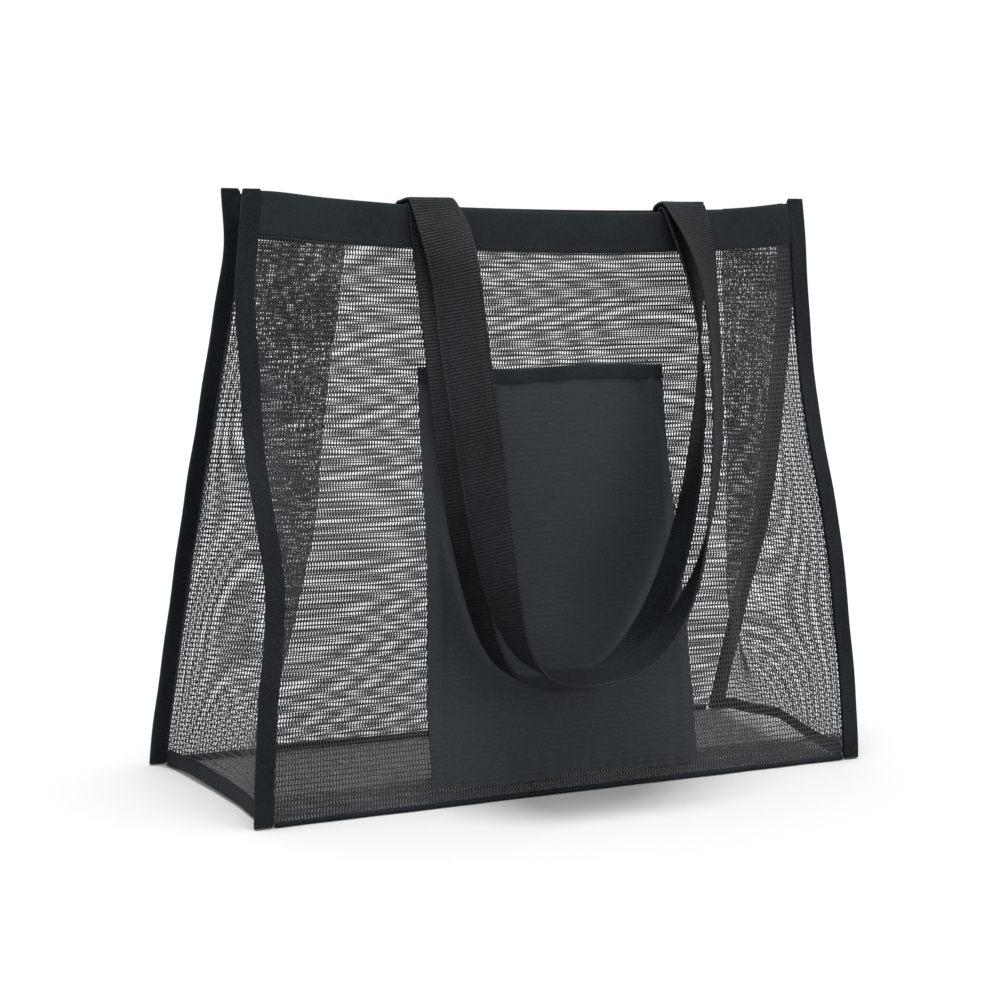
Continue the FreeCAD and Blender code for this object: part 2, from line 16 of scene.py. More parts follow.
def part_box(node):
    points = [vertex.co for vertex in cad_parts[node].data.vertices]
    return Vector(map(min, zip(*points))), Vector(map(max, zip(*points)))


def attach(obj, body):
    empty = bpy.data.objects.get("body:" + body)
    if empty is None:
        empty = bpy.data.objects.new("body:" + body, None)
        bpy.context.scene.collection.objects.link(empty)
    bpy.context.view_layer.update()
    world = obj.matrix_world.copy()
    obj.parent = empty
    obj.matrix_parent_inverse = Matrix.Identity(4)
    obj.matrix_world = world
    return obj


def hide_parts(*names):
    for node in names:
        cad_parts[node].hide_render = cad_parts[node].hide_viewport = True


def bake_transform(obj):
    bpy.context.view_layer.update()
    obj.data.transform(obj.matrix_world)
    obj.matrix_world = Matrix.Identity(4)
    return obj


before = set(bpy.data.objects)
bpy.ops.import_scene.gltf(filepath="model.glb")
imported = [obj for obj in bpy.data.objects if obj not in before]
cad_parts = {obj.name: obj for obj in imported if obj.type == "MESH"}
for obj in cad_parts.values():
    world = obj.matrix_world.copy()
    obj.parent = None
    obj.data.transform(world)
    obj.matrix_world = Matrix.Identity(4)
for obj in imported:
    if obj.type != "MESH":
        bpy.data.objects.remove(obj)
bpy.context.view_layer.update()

LOG = logging.getLogger("beach_bag")
Array = np.ndarray
Surface = Callable[[Array, Array, Array], Array]
MM = 0.001  # every size below is in millimetres until its mesh is made


# ---- reading curves and placing points --------------------------------------------------------------
def flow(knots: Sequence[tuple[float, float]], at: Array) -> Array:
    """Reads a smooth curve through knots.

    Args:
        knots: (place, value) pairs in rising order of place.
        at: the places to read, held to the first and last knot.
    Returns:
        The values there.
    """
    places, values = np.array(knots, dtype=float).T
    slopes = np.gradient(values, places)
    at = np.clip(np.asarray(at, dtype=float), places[0], places[-1])
    i = np.clip(np.searchsorted(places, at) - 1, 0, len(places) - 2)
    step = places[i + 1] - places[i]
    t = (at - places[i]) / step
    return ((2 * t**3 - 3 * t**2 + 1) * values[i] + (t**3 - 2 * t**2 + t) * step * slopes[i]
            + (3 * t**2 - 2 * t**3) * values[i + 1] + (t**3 - t**2) * step * slopes[i + 1])


def flow_pair(knots: Sequence[tuple[float, float, float]], at: Array) -> tuple[Array, Array]:
    """Reads the two smooth curves of a list of (place, first value, second value)."""
    return flow([(h, a) for h, a, _ in knots], at), flow([(h, b) for h, _, b in knots], at)


def rise(low: float, high: float, at: Array) -> Array:
    """A smooth step from 0 at low to 1 at high."""
    t = np.clip((np.asarray(at, dtype=float) - low) / (high - low), 0, 1)
    return t * t * (3 - 2 * t)


def stack(x: Array, y: Array, z: Array) -> Array:
    """Joins three arrays of coordinates, stretched to one shape, as points."""
    return np.stack(np.broadcast_arrays(x, y, z), axis=-1).astype(float)


def unit(vectors: Array) -> Array:
    """The same directions, one long."""
    return vectors / np.linalg.norm(vectors, axis=-1, keepdims=True)


def travel(points: Array) -> Array:
    """How far along a path each of its points lies."""
    return np.concatenate([[0], np.cumsum(np.linalg.norm(np.diff(points, axis=0), axis=1))])


def cells(grid: Array) -> Array:
    """The four corners of every cell of a grid, going round the cell."""
    return np.stack([grid[:-1, :-1], grid[1:, :-1], grid[1:, 1:], grid[:-1, 1:]], axis=-1)


def both_faces(face: Sequence[tuple[float, float]], thickness: float) -> Array:
    """A tape's closed outline: one face as (across, share of the thickness), and its mirror image."""
    return np.array([(a, share * thickness) for a, share in face]
                    + [(a, -share * thickness) for a, share in face[::-1]])


def even_steps(points: Array, spacing: float, *along: Array) -> list[Array]:
    """Walks a path in even steps.

    Args:
        points: the path.
        spacing: the wanted step.
        along: arrays of vectors that go with the points.
    Returns:
        The new points, and the other arrays read at the same places.
    """
    travelled = travel(points)
    wanted = np.linspace(0, travelled[-1], max(2, round(travelled[-1] / spacing) + 1))
    return [np.stack([np.interp(wanted, travelled, column) for column in data.T], axis=-1)
            for data in (points, *along)]


def soften(data: Array, reach: int) -> Array:
    """Rounds the corners of a path by averaging over neighbours; the ends stay where they are."""
    weights = np.hanning(2 * reach + 3)[1:-1]
    weights /= weights.sum()
    head, tail = 2 * data[0] - data[1:reach + 1][::-1], 2 * data[-1] - data[-reach - 1:-1][::-1]
    padded = np.concatenate([head, data, tail])
    return np.stack([np.convolve(column, weights, mode="valid") for column in padded.T], axis=-1)


# ---- the hanging shape of the cloth -----------------------------------------------------------------
class Corner(Enum):
    """The four upright seams, as (side, wall): -1 is left or front, 1 is right or back."""

    FRONT_LEFT = (-1, -1)
    FRONT_RIGHT = (1, -1)
    BACK_LEFT = (-1, 1)
    BACK_RIGHT = (1, 1)


SIDES = {-1: "left", 1: "right"}


class Wall(Enum):
    """The two big walls."""

    FRONT = -1
    BACK = 1


@dataclass
class Shell:
    """Where the limp cloth of the walls, folded sides and base lies.

    Each seam's slack lists (height, out sideways, out from the wall): how far it has left the
    straight line between the base and the rim.
    """

    base_half: float = 220.0
    rim_half: float = 202.0
    half_depth: float = 88.0
    rim_height: float = 372.0
    rim_offsets: dict = field(default_factory=lambda: {Wall.FRONT: 22.0, Wall.BACK: 2.0})
    slack: dict = field(default_factory=lambda: {
        Corner.FRONT_LEFT: ((0, 1, 0), (41, 2, 8), (75, 1.5, 12.3), (111, -1, 15.5), (146, -1.8, 17.7),
                            (170, 0.4, 15.5), (200, 3, 10.5), (220, 4.5, 6.5), (240, 5, 3.6), (271, 5.5, 1.6),
                            (300, 7.2, 1.2), (330, 7, 2), (353, 5, 3), (382, 2.4, 4.4)),
        Corner.FRONT_RIGHT: ((0, 3, 0), (20, 2.8, 3), (69, -1.2, 11.5), (120, -3, 16), (146, -3.8, 17.7),
                             (180, -3.8, 14), (240, -1.5, 3.6), (277, 0, 1.5), (342, 2.2, 2.4),
                             (382, 3, 4.4)),
        Corner.BACK_LEFT: ((0, 3, 0), (33, 1, 7.6), (80, -2, 16), (112, -3.4, 19), (150, -3, 16.5),
                           (193, -1.7, 12.6), (240, -0.5, 7), (300, 0, 1), (344, 0, 0), (382, 4.5, 7)),
        Corner.BACK_RIGHT: ((0, 4, -6), (30, 2.5, -13), (60, 1, -20), (100, -0.6, -29), (150, 0, -38),
                            (200, 0.9, -39), (250, 3.5, -33), (300, 7, -24), (350, 9, -13), (382, 9, -6)),
    })
    rims: dict = field(default_factory=lambda: {
        Wall.FRONT: ((-205, 379.5), (-190, 379.5), (-148, 376), (-105, 373.2), (-79, 371.6), (-30, 370.3),
                     (21, 369.4), (75, 369.8), (109, 371), (134, 372), (195, 377), (205, 378)),
        Wall.BACK: ((-205, 378.5), (-150, 374.5), (-79, 372), (0, 370.6), (109, 371.4), (160, 373),
                    (205, 376)),
    })
    folds: dict = field(default_factory=lambda: {
        -1: ((0, -211, 0), (20, -196, -2), (40, -183, -4), (65, -170, -5), (94, -162, -5), (139, -151, -5),
             (167, -144, -5), (222, -139, -5), (267, -134, -6), (311, -129, -8), (346, -126, -9),
             (380, -125, -8)),
        1: ((0, 212, 0), (20, 199, -5), (40, 186, -11), (81, 162, -20), (110, 150, -27), (142, 145, -31),
            (220, 142, -31), (300, 142, -23), (345, 143, -17), (380, 145, -14)),
    })
    lifts: dict = field(default_factory=lambda: {
        -1: ((-1, 0), (-0.5, 1.5), (0, 2), (0.5, 3), (1, 0)),
        1: ((-1, 0), (-0.68, 3.5), (-0.34, 11.5), (-0.17, 15), (0, 14), (0.34, 9.5), (0.68, 7), (1, 0)),
    })

    @classmethod
    def from_frame(cls) -> "Shell":
        """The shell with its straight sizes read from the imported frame."""
        low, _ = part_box("front_left_binding")
        _, hem_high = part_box("back_hem_band")
        hem_lean = 0.34  # the hem's half thickness stands this much above the rim, as it leans
        return cls(base_half=-low[0] / MM, rim_height=round(hem_high[2] / MM - hem_lean, 1))

    def run(self, wall: Wall) -> float:
        """How far a wall leans inwards from its foot to its rim."""
        return self.half_depth - self.rim_offsets[wall]

    def normal(self, wall: Wall) -> Array:
        """The outward direction of a wall."""
        slope = math.atan2(self.run(wall), self.rim_height)
        return np.array([0, wall.value * math.cos(slope), math.sin(slope)])

    def straight_y(self, wall: Wall, z: Array) -> Array:
        """Where the flat wall of the frame stands at a height."""
        return wall.value * (self.half_depth - z * self.run(wall) / self.rim_height)

    def seam(self, corner: Corner, z: Array) -> tuple[Array, Array, Array]:
        """A corner seam at a height: its x, its y, and how far it has left the wall outwards."""
        side, wall = corner.value
        z = np.asarray(z, dtype=float)
        sideways, out = flow_pair(self.slack[corner], z)
        taper = (self.base_half - self.rim_half) / self.rim_height
        x = side * (self.base_half - taper * z + sideways)
        return x, self.straight_y(Wall(wall), z) + wall * out, out

    def rim(self, wall: Wall, x: Array) -> Array:
        """The height of a wall's rim, which sags between the corners."""
        return flow(self.rims[wall], x)

    def wall_point(self, wall: Wall, share: Array, z: Array, off: Array = 0.0) -> Array:
        """A point of a big wall.

        Args:
            wall: which one.
            share: 0 at the left seam to 1 at the right one.
            z: the height.
            off: how far outwards from the cloth's middle.
        Returns:
            The points.
        """
        left = Corner((-1, wall.value))
        right = Corner((1, wall.value))
        left_x, _, left_out = self.seam(left, z)
        right_x, _, right_out = self.seam(right, z)
        x = left_x + (right_x - left_x) * share
        fade = 0.42  # the share of the width over which a seam's pull dies out
        near = np.clip(1 - share / fade, 0, 1) ** 2
        far = np.clip(1 - (1 - share) / fade, 0, 1) ** 2
        ripple = 0.9 * np.sin(x / 37 + z / 61) * np.sin(z / 43 + 0.6) + 0.5 * np.sin(x / 17 - z / 29)
        ripple = ripple * np.clip(z / 60, 0, 1) * np.clip((self.rim_height - z) / 50, 0, 1)
        ripple = ripple * np.clip(share / 0.08, 0, 1) * np.clip((1 - share) / 0.08, 0, 1)
        y = self.straight_y(wall, z) + wall.value * (left_out * near + right_out * far + ripple)
        direction = self.normal(wall)
        off = np.asarray(off, dtype=float)
        return stack(x, y + off * direction[1], z + off * direction[2])

    def share_at(self, wall: Wall, x: Array, z: Array) -> Array:
        """The share of a wall's width at which a given x lies."""
        left_x = self.seam(Corner((-1, wall.value)), z)[0]
        right_x = self.seam(Corner((1, wall.value)), z)[0]
        return (x - left_x) / (right_x - left_x)

    def foot_lift(self, side: int, across: Array) -> Array:
        """How high the foot of a folded side is held, from -1 at the front to 1 at the back."""
        return flow(self.lifts[side], across)

    def side_point(self, side: int, across: Array, z: Array, off: Array = 0.0) -> Array:
        """A point of a folded side.

        Args:
            side: -1 for the left, 1 for the right.
            across: -1 at the front seam, 0 at the fold, 1 at the back seam.
            z: the height.
            off: how far outwards.
        Returns:
            The points.
        """
        front_x, front_y, _ = self.seam(Corner((side, -1)), z)
        back_x, back_y, _ = self.seam(Corner((side, 1)), z)
        tuck = 2.2  # the side is sewn to the inner face of each wall,
        edge = 8.8  # from the inner edge of the seam's tape
        front_x, back_x = front_x - side * edge, back_x - side * edge
        front_y, back_y = front_y + tuck, back_y - tuck
        fold_x, fold_y = flow_pair(self.folds[side], z)
        crease = 0.07 + 0.25 * np.clip(1 - z / 90, 0, 1)
        reach = np.sqrt(across**2 + crease**2)
        ends = np.sqrt(1 + crease**2)
        to_front, to_back = (reach - across) / (ends + 1), (reach + across) / (ends + 1)
        x = fold_x + (front_x - fold_x) * to_front + (back_x - fold_x) * to_back
        y = fold_y + (front_y - fold_y) * to_front + (back_y - fold_y) * to_back
        bow = 5.0 * np.sin(np.pi * np.clip(np.abs(across), 0, 1)) * np.clip(z / 60, 0, 1)
        bow = bow * np.clip((self.rim_height - z) / 120, 0, 1)
        wave = 1.3 * np.sin(z / 23 + 5 * across) * np.clip(np.sin(np.pi * np.abs(across)), 0, 1)
        return stack(x + side * (bow + wave * 0.6 + np.asarray(off, dtype=float)), y + wave, z)

    def base_point(self, along: Array, across: Array, off: Array = 0.0) -> Array:
        """A point of the base, from (-1, -1) at the front left corner to (1, 1)."""
        lift = np.where(along < 0, self.foot_lift(-1, across), self.foot_lift(1, across))
        pull = 9.0 * np.clip(1 - across**4, 0, 1)
        half = self.base_half - 1.5 - pull
        x = along * half
        y = across * (self.half_depth - 0.6)
        gap = half * (1 - np.abs(along))
        for corner in Corner:
            side, wall = corner.value
            seam_x, seam_y, _ = self.seam(corner, 0.0)
            near = (1 + side * along) * (1 + wall * across) / 4
            x = x + near * (seam_x - side * self.base_half)
            y = y + near * (seam_y - wall * self.half_depth)
        z = lift * np.exp(-gap / 30)
        left = 5.0 * np.exp(-(((x + 150 - 0.9 * y) / 16) ** 2)) * np.clip(1 - (y / 80) ** 2, 0, 1)
        right = 3.2 * np.exp(-(((x - 128 + 0.7 * y) / 20) ** 2)) * np.clip(1 - (y / 84) ** 2, 0, 1)
        ripple = 0.9 * (1 + np.sin(x / 14 + y / 31)) * np.clip(1 - across**4, 0, 1)
        height = 0.7 + z + (left + right) + ripple * np.clip(gap / 30, 0, 1)
        return stack(x, y, height + np.asarray(off, dtype=float))


# ---- making meshes -----------------------------------------------------------------------------------
def deselect() -> None:
    """Lets go of everything, so that an operator acts only on what is chosen next."""
    for item in bpy.context.selected_objects:
        item.select_set(False)


def choose(item: bpy.types.Object) -> None:
    """Makes one piece the only one selected, and active."""
    deselect()
    item.select_set(True)
    bpy.context.view_layer.objects.active = item


def new_piece(name: str, points: Array, faces: Sequence, uvs: Array | None = None) -> bpy.types.Object:
    """Makes a mesh piece at the origin.

    Args:
        name: the piece's name.
        points: its points, in millimetres.
        faces: its faces, as lists of point numbers.
        uvs: one pair for each corner of each face, in metres of cloth.
    Returns:
        The piece.
    """
    mesh = bpy.data.meshes.new(name)
    mesh.from_pydata((points.reshape(-1, 3) * MM).tolist(), [], [list(map(int, f)) for f in faces])
    if uvs is not None:
        layer = mesh.uv_layers.new(name="cloth")
        layer.data.foreach_set("uv", np.asarray(uvs, dtype=np.float32).ravel())
    mesh.update()
    item = bpy.data.objects.new(name, mesh)
    bpy.context.collection.objects.link(item)
    return item


def face_outwards(item: bpy.types.Object) -> None:
    """Turns every face of a closed piece outwards."""
    choose(item)
    bpy.ops.object.mode_set(mode="EDIT")
    bpy.ops.mesh.select_all(action="SELECT")
    bpy.ops.mesh.normals_make_consistent(inside=False)
    bpy.ops.object.mode_set(mode="OBJECT")


def smooth(item: bpy.types.Object, degrees: float = 50) -> bpy.types.Object:
    """Shades a piece smoothly, apart from its sharp edges."""
    choose(item)
    bpy.ops.object.shade_smooth_by_angle(angle=math.radians(degrees))
    return item


def apply_modifier(item: bpy.types.Object, kind: str, **settings: object) -> None:
    """Adds a modifier and applies it at once."""
    choose(item)
    modifier = item.modifiers.new(kind.lower(), kind)
    for name, value in settings.items():
        setattr(modifier, name, value)
    bpy.ops.object.modifier_apply(modifier=modifier.name)


def swept(name: str, rings: Array, step: float = 0.0) -> bpy.types.Object:
    """A closed tape: the same outline carried along a path.

    Args:
        name: the piece's name.
        rings: outlines as (count, points of an outline, 3).
        step: the exact length of cloth from outline to outline; 0 measures it.
    Returns:
        The piece, with its cloth coordinates: across the tape, then along it.
    """
    count, around = rings.shape[:2]
    along = (np.arange(count) * step if step else travel(rings.mean(axis=1))) * MM
    middle = rings[count // 2]
    across = travel(np.vstack([middle, middle[:1]])) * MM
    faces, uvs = [], []
    for k in range(count - 1):
        for m in range(around):
            n = (m + 1) % around
            faces.append((k * around + m, k * around + n, (k + 1) * around + n, (k + 1) * around + m))
            uvs += [(across[m], along[k]), (across[m + 1], along[k]), (across[m + 1], along[k + 1]),
                    (across[m], along[k + 1])]
    faces.append(list(range(around))[::-1])
    uvs += [(across[m], along[0]) for m in range(around)][::-1]
    faces.append([(count - 1) * around + m for m in range(around)])
    uvs += [(across[m], along[-1]) for m in range(around)]
    item = new_piece(name, rings, faces, np.array(uvs))
    face_outwards(item)
    return smooth(item)


@dataclass(frozen=True)
class Weave:
    """How a net is knitted: the cell's size, the lean of alternate rows, and how open it is."""

    across: float = 2.1
    up: float = 3.1
    lean: float = 0.3
    open_across: float = 0.57
    open_up: float = 0.78
    round: float = 0.12


def net(name: str, surface: Surface, width: float, height: float, weave: Weave = Weave(),
        share_range: tuple[float, float] = (0.0, 1.0)) -> bpy.types.Object:
    """A knitted net laid over a surface, with a real hole in every cell.

    Args:
        name: the piece's name.
        surface: gives points for (share across, share up, distance outwards).
        width: the cloth's width, which sets the number of cells.
        height: its height.
        weave: how it is knitted.
        share_range: the first and last share across.
    Returns:
        The net.
    """
    columns, rows = round(width / weave.across), round(height / weave.up)
    low, high = share_range
    grid_a, grid_v = np.meshgrid(np.linspace(low, high, columns + 1), np.linspace(0, 1, rows + 1),
                                 indexing="ij")
    lean = weave.lean * (high - low) / columns
    shift = np.where(np.arange(rows + 1) % 2 == 0, lean, -lean)
    grid_a = np.clip(grid_a + shift[None, :], low, high)
    corner_a, corner_v = cells(grid_a), cells(grid_v)
    middle_a, middle_v = corner_a.mean(axis=-1, keepdims=True), corner_v.mean(axis=-1, keepdims=True)
    hole_a = middle_a + (corner_a - middle_a) * weave.open_across
    hole_v = middle_v + (corner_v - middle_v) * weave.open_up
    threads = surface(grid_a, grid_v, np.full_like(grid_a, weave.round))
    holes = surface(hole_a, hole_v, np.full_like(hole_a, -weave.round))
    points = np.concatenate([threads.reshape(-1, 3), holes.reshape(-1, 3)])
    number = np.arange((columns + 1) * (rows + 1)).reshape(columns + 1, rows + 1)
    outer = cells(number)
    inner = number.size + np.arange(columns * rows * 4).reshape(columns, rows, 4)
    quads = []
    for m in range(4):
        n = (m + 1) % 4
        ring = np.stack([outer[..., m], outer[..., n], inner[..., n], inner[..., m]], axis=-1)
        quads.append(ring.reshape(-1, 4))
    item = new_piece(name, points, np.concatenate(quads))
    choose(item)
    bpy.ops.object.shade_smooth()
    return item


class StitchBench:
    """Makes runs of stitches: one stitch is modelled, and copied along each line."""

    def __init__(self, length: float = 2.3, thickness: float = 0.55) -> None:
        """Models the one stitch, which lies along X with Z away from the cloth."""
        deselect()
        bpy.ops.mesh.primitive_cylinder_add(vertices=6, radius=thickness / 2 * MM, depth=length * MM,
                                            rotation=(0, math.pi / 2, 0))
        stitch = bpy.context.object
        stitch.name = "one_stitch"
        bpy.ops.object.transform_apply(location=True, rotation=True, scale=True)
        bpy.ops.object.mode_set(mode="EDIT")
        bpy.ops.mesh.select_all(action="SELECT")
        bpy.ops.mesh.subdivide(number_cuts=1)
        bpy.ops.object.mode_set(mode="OBJECT")
        co = np.empty(len(stitch.data.vertices) * 3)
        stitch.data.vertices.foreach_get("co", co)
        co = co.reshape(-1, 3) / MM
        pinch = 1 - 0.55 * (np.abs(co[:, 0]) / (length / 2)) ** 2
        co[:, 1] *= pinch
        co[:, 2] = co[:, 2] * pinch - 0.25 * (np.abs(co[:, 0]) / (length / 2)) ** 2
        self.points = co
        self.faces = [tuple(p.vertices) for p in stitch.data.polygons]
        bpy.data.objects.remove(stitch)

    def run(self, name: str, lines: Sequence[tuple[Array, Array]], pitch: float = 3.1) -> bpy.types.Object:
        """Sews along lines.

        Args:
            name: the piece's name.
            lines: pairs of a path and the directions away from the cloth along it.
            pitch: the distance from stitch to stitch.
        Returns:
            All the stitches, as one piece.
        """
        points, faces = [], []
        for path, away in lines:
            away = np.broadcast_to(away, path.shape)
            spots, outward = even_steps(path, pitch, away)
            middles = (spots[1:] + spots[:-1]) / 2
            ahead = unit(spots[1:] - spots[:-1])
            up = unit(outward[1:] + outward[:-1])
            up = unit(up - (up * ahead).sum(axis=1, keepdims=True) * ahead)
            beside = np.cross(up, ahead)
            for spot, a, b, c in zip(middles, ahead, beside, up):
                start = len(points) * len(self.points)
                points.append(spot + self.points @ np.array([a, b, c]))
                faces += [tuple(start + i for i in face) for face in self.faces]
        item = new_piece(name, np.concatenate(points), faces)
        face_outwards(item)
        return smooth(item)


# ---- nets --------------------------------------------------------------------------------------------
@dataclass
class NetWalls:
    """The five net panels, and the turned-up edge of the base behind the front's foot."""

    shell: Shell
    hem: float = 24.0
    foot: float = 3.0
    side_top: float = 348.0
    hidden: float = 0.013  # the share of a wall's width that each seam tape covers
    allowance: float = 16.0
    thread: float = 0.58  # the share of a net that is thread, as its holes leave it
    base_thread: float = 0.45
    turned_thread: float = 0.6

    @staticmethod
    def lay(piece: bpy.types.Object, flat: tuple[float, float], held: str, thread: float) -> None:
        """Does nothing: a net's flat size in metres, how it is held, and the share of it that is thread are not
        used.
        """

    def wall(self, wall: Wall) -> bpy.types.Object:
        """The net of one big wall."""
        def surface(share: Array, up: Array, off: Array) -> Array:
            """The wall from above its foot to under the hem."""
            x = (share * 2 - 1) * self.shell.rim_half
            top = self.shell.rim(wall, x) - self.hem
            return self.shell.wall_point(wall, share, self.foot + up * (top - self.foot), off)

        name = f"{wall.name.lower()}_net"
        weave = Weave() if wall is Wall.FRONT else Weave(across=2.03, up=2.98, lean=-0.3)
        piece = net(name, surface, 424, 345, weave, (self.hidden, 1 - self.hidden))
        self.lay(piece, (0.424, 0.350), "hung", self.thread)
        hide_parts(f"{wall.name.lower()}_mesh_panel")
        return piece

    def side(self, side: int) -> bpy.types.Object:
        """The net of one folded side."""
        def surface(share: Array, up: Array, off: Array) -> Array:
            """The folded side from its foot to under the hem."""
            across = share * 2 - 1
            foot = self.foot + self.shell.foot_lift(side, across)
            return self.shell.side_point(side, across, foot + up * (self.side_top - foot), off)

        piece = net(f"{SIDES[side]}_side_net", surface, 178, 345)
        self.lay(piece, (0.178, 0.345), "folded", self.thread)
        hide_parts(f"{SIDES[side]}_gusset_mesh")
        return piece

    def base(self) -> bpy.types.Object:
        """The net that the bag stands on."""
        def surface(share: Array, up: Array, off: Array) -> Array:
            """The whole base."""
            return self.shell.base_point(share * 2 - 1, up * 2 - 1, off)

        weave = Weave(up=3.4, open_across=0.7, open_up=0.84, round=0.02)
        piece = net("base_net", surface, 436, 176, weave)
        self.lay(piece, (0.436, 0.176), "laid", self.base_thread)
        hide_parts("bottom_mesh_panel")
        return piece

    def turned_edge(self) -> bpy.types.Object:
        """The base's edge, turned up behind the foot of the front."""
        def surface(share: Array, up: Array, off: Array) -> Array:
            """The first strip of the front, behind its net."""
            return self.shell.wall_point(Wall.FRONT, share, self.foot + up * self.allowance, off - 1.3)

        piece = net("front_foot_turning", surface, 424, self.allowance,
                    share_range=(self.hidden, 1 - self.hidden))
        self.lay(piece, (0.424, self.allowance * MM), "folded", self.turned_thread)
        return piece

    def build(self) -> list[bpy.types.Object]:
        """All the nets."""
        return [self.wall(Wall.FRONT), self.wall(Wall.BACK), self.side(-1), self.side(1), self.base(),
                self.turned_edge()]


# ---- hems and tapes ----------------------------------------------------------------------------------
@dataclass
class Edging:
    """The woven hem bands round the mouth and the ribbed tapes over every seam."""

    shell: Shell
    bench: StitchBench
    hem: float = 26.5
    hem_half: float = 1.3
    side_hem_half: float = 0.75
    tape: float = 12.4
    tape_half: float = 1.7
    side_foot_tape: float = 11.0
    side_foot_half: float = 1.4
    welts: dict = field(default_factory=lambda: {Wall.FRONT: 3.6, Wall.BACK: 4.6})
    welt_half: float = 1.5
    stitch_row: float = 23.6  # how far below the rim the hem is sewn
    hem_stitch_off: float = 1.15
    tape_stitch_in: float = 9.3
    tape_stitch_off: float = 1.72
    side_hem_top: float = 373.0
    side_hem_rise: float = 4.5  # the side's top rises this much from its fold to the seams
    tape_tops: dict = field(default_factory=lambda: {
        corner: 374.5 if corner is Corner.BACK_RIGHT else 380.6 for corner in Corner})

    def hem_outline(self, half: float) -> Array:
        """A folded band cut across: (below the rim, outwards)."""
        return both_faces([(-self.hem, 0.75), (-25.2, 1.0), (-self.stitch_row, 0.82), (-20, 1.05),
                           (-15.5, 1.0), (-11, 1.1), (-6.5, 1.0), (-3, 1.02), (-1.1, 0.86), (-0.3, 0.5),
                           (0, 0.12)], half)

    def wall_hem(self, wall: Wall) -> bpy.types.Object:
        """The hem band along one wall's rim."""
        outline = self.hem_outline(self.hem_half)
        shares = np.linspace(0.006, 0.994, 230)[:, None]
        x = (shares * 2 - 1) * self.shell.rim_half
        top = self.shell.rim(wall, x)
        pucker = 0.16 * np.sin(x / 2.9) * np.exp(-((outline[None, :, 0] + self.stitch_row) / 3.5) ** 2)
        swell = 0.35 * np.sin(x / 26 + 0.7) * np.exp(-((outline[None, :, 0] + 12) / 9) ** 2)
        off = outline[None, :, 1] * (1 + pucker) + swell
        points = self.shell.wall_point(wall, shares, top + outline[None, :, 0], off)
        name = wall.name.lower()
        piece = swept(f"{name}_hem", points)
        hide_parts(f"{name}_hem_band")
        return piece

    def side_hem(self, side: int) -> bpy.types.Object:
        """The hem band round the top of one folded side."""
        outline = self.hem_outline(self.side_hem_half)
        across = np.linspace(-0.985, 0.985, 130)[:, None]
        top = self.side_hem_top + self.side_hem_rise * np.abs(across) ** 1.5
        points = self.shell.side_point(side, across, top + outline[None, :, 0],
                                       outline[None, :, 1] * side)
        piece = swept(f"{SIDES[side]}_side_hem", points)
        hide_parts(f"{SIDES[side]}_gusset_hem_band")
        return piece

    def tape_outline(self) -> Array:
        """A seam tape cut across: (inwards from the seam, outwards from the wall)."""
        w = self.tape
        return both_faces([(-1.5, 0.45), (-1.0, 0.8), (0, 1.0), (2.2, 1.02), (5, 0.93), (8.5, 0.95),
                           (w - 2.6, 0.92), (w - 1.7, 0.72), (w - 1.5, 0.3)], self.tape_half)

    @staticmethod
    def tape_wave(corner: Corner, z: Array) -> Array:
        """How far an upright tape wanders from its seam, outwards from the side."""
        side, wall = corner.value
        return 0.35 * np.sin(z / 9.3 + side) + 0.5 * np.sin(z / 23 + wall)

    def corner_tape(self, corner: Corner) -> bpy.types.Object:
        """The tape over one upright seam."""
        side, wall = corner.value
        outline = self.tape_outline()
        top = self.tape_tops[corner]
        z = np.concatenate([[0.9, 1.6, 2.6], np.linspace(4, top - 3.1, 210), [top - 1.6, top - 0.6, top]])
        z = z[:, None]
        x, y, _ = self.shell.seam(corner, z)
        direction = self.shell.normal(Wall(wall))
        narrow = 1 - 0.18 * np.exp(-z / 1.5) - 0.12 * rise(top - 2.1, top, z)
        across, out = outline[None, :, 0] * narrow, outline[None, :, 1] * narrow
        wave = self.tape_wave(corner, z)
        points = stack(x - side * across, y + (out + 0.25 * wave) * direction[1],
                       z + out * direction[2] * 0.4)
        points[..., 0] += side * wave * 0.5
        points[..., 2] = np.maximum(points[..., 2], 0.05)
        label = corner.name.lower()
        piece = swept(f"{label}_tape", points)
        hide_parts(f"{label}_binding")
        return piece

    def side_foot(self, side: int) -> bpy.types.Object:
        """The tape over the foot of one folded side."""
        outline = both_faces([(0.4, 0.5), (1.2, 0.95), (3, 1.0), (6, 0.9), (9, 0.95), (10.4, 0.8),
                              (self.side_foot_tape, 0.35)], self.side_foot_half)
        across = np.linspace(-0.965, 0.965, 110)[:, None]
        foot = self.shell.foot_lift(side, across)
        lean = 1 - 0.25 * (1 - across**2)
        points = self.shell.side_point(side, across, foot + outline[None, :, 0] * lean,
                                       outline[None, :, 1] * side)
        points[..., 2] = np.maximum(points[..., 2], 0.1)
        piece = swept(f"{SIDES[side]}_foot_tape", points)
        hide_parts(f"{SIDES[side]}_bottom_binding")
        return piece

    def wall_foot(self, wall: Wall) -> bpy.types.Object:
        """The welt over the foot of a big wall."""
        tall = self.welts[wall]
        outline = both_faces([(0.3, 0.45), (0.9, 0.9), (tall * 0.35, 1.0), (tall * 0.7, 0.9),
                              (tall - 0.6, 0.75), (tall, 0.3)], self.welt_half)
        shares = np.linspace(0.028, 0.972, 200)[:, None]
        wave = 0.25 * np.sin(shares * 61) + 0.2 * np.sin(shares * 27 + 1)
        points = self.shell.wall_point(wall, shares, outline[None, :, 0] + 0 * shares,
                                       outline[None, :, 1] + wave)
        points[..., 2] = np.maximum(points[..., 2], 0.1)
        name = wall.name.lower()
        piece = swept(f"{name}_foot_tape", points)
        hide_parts(f"{name}_bottom_binding")
        return piece

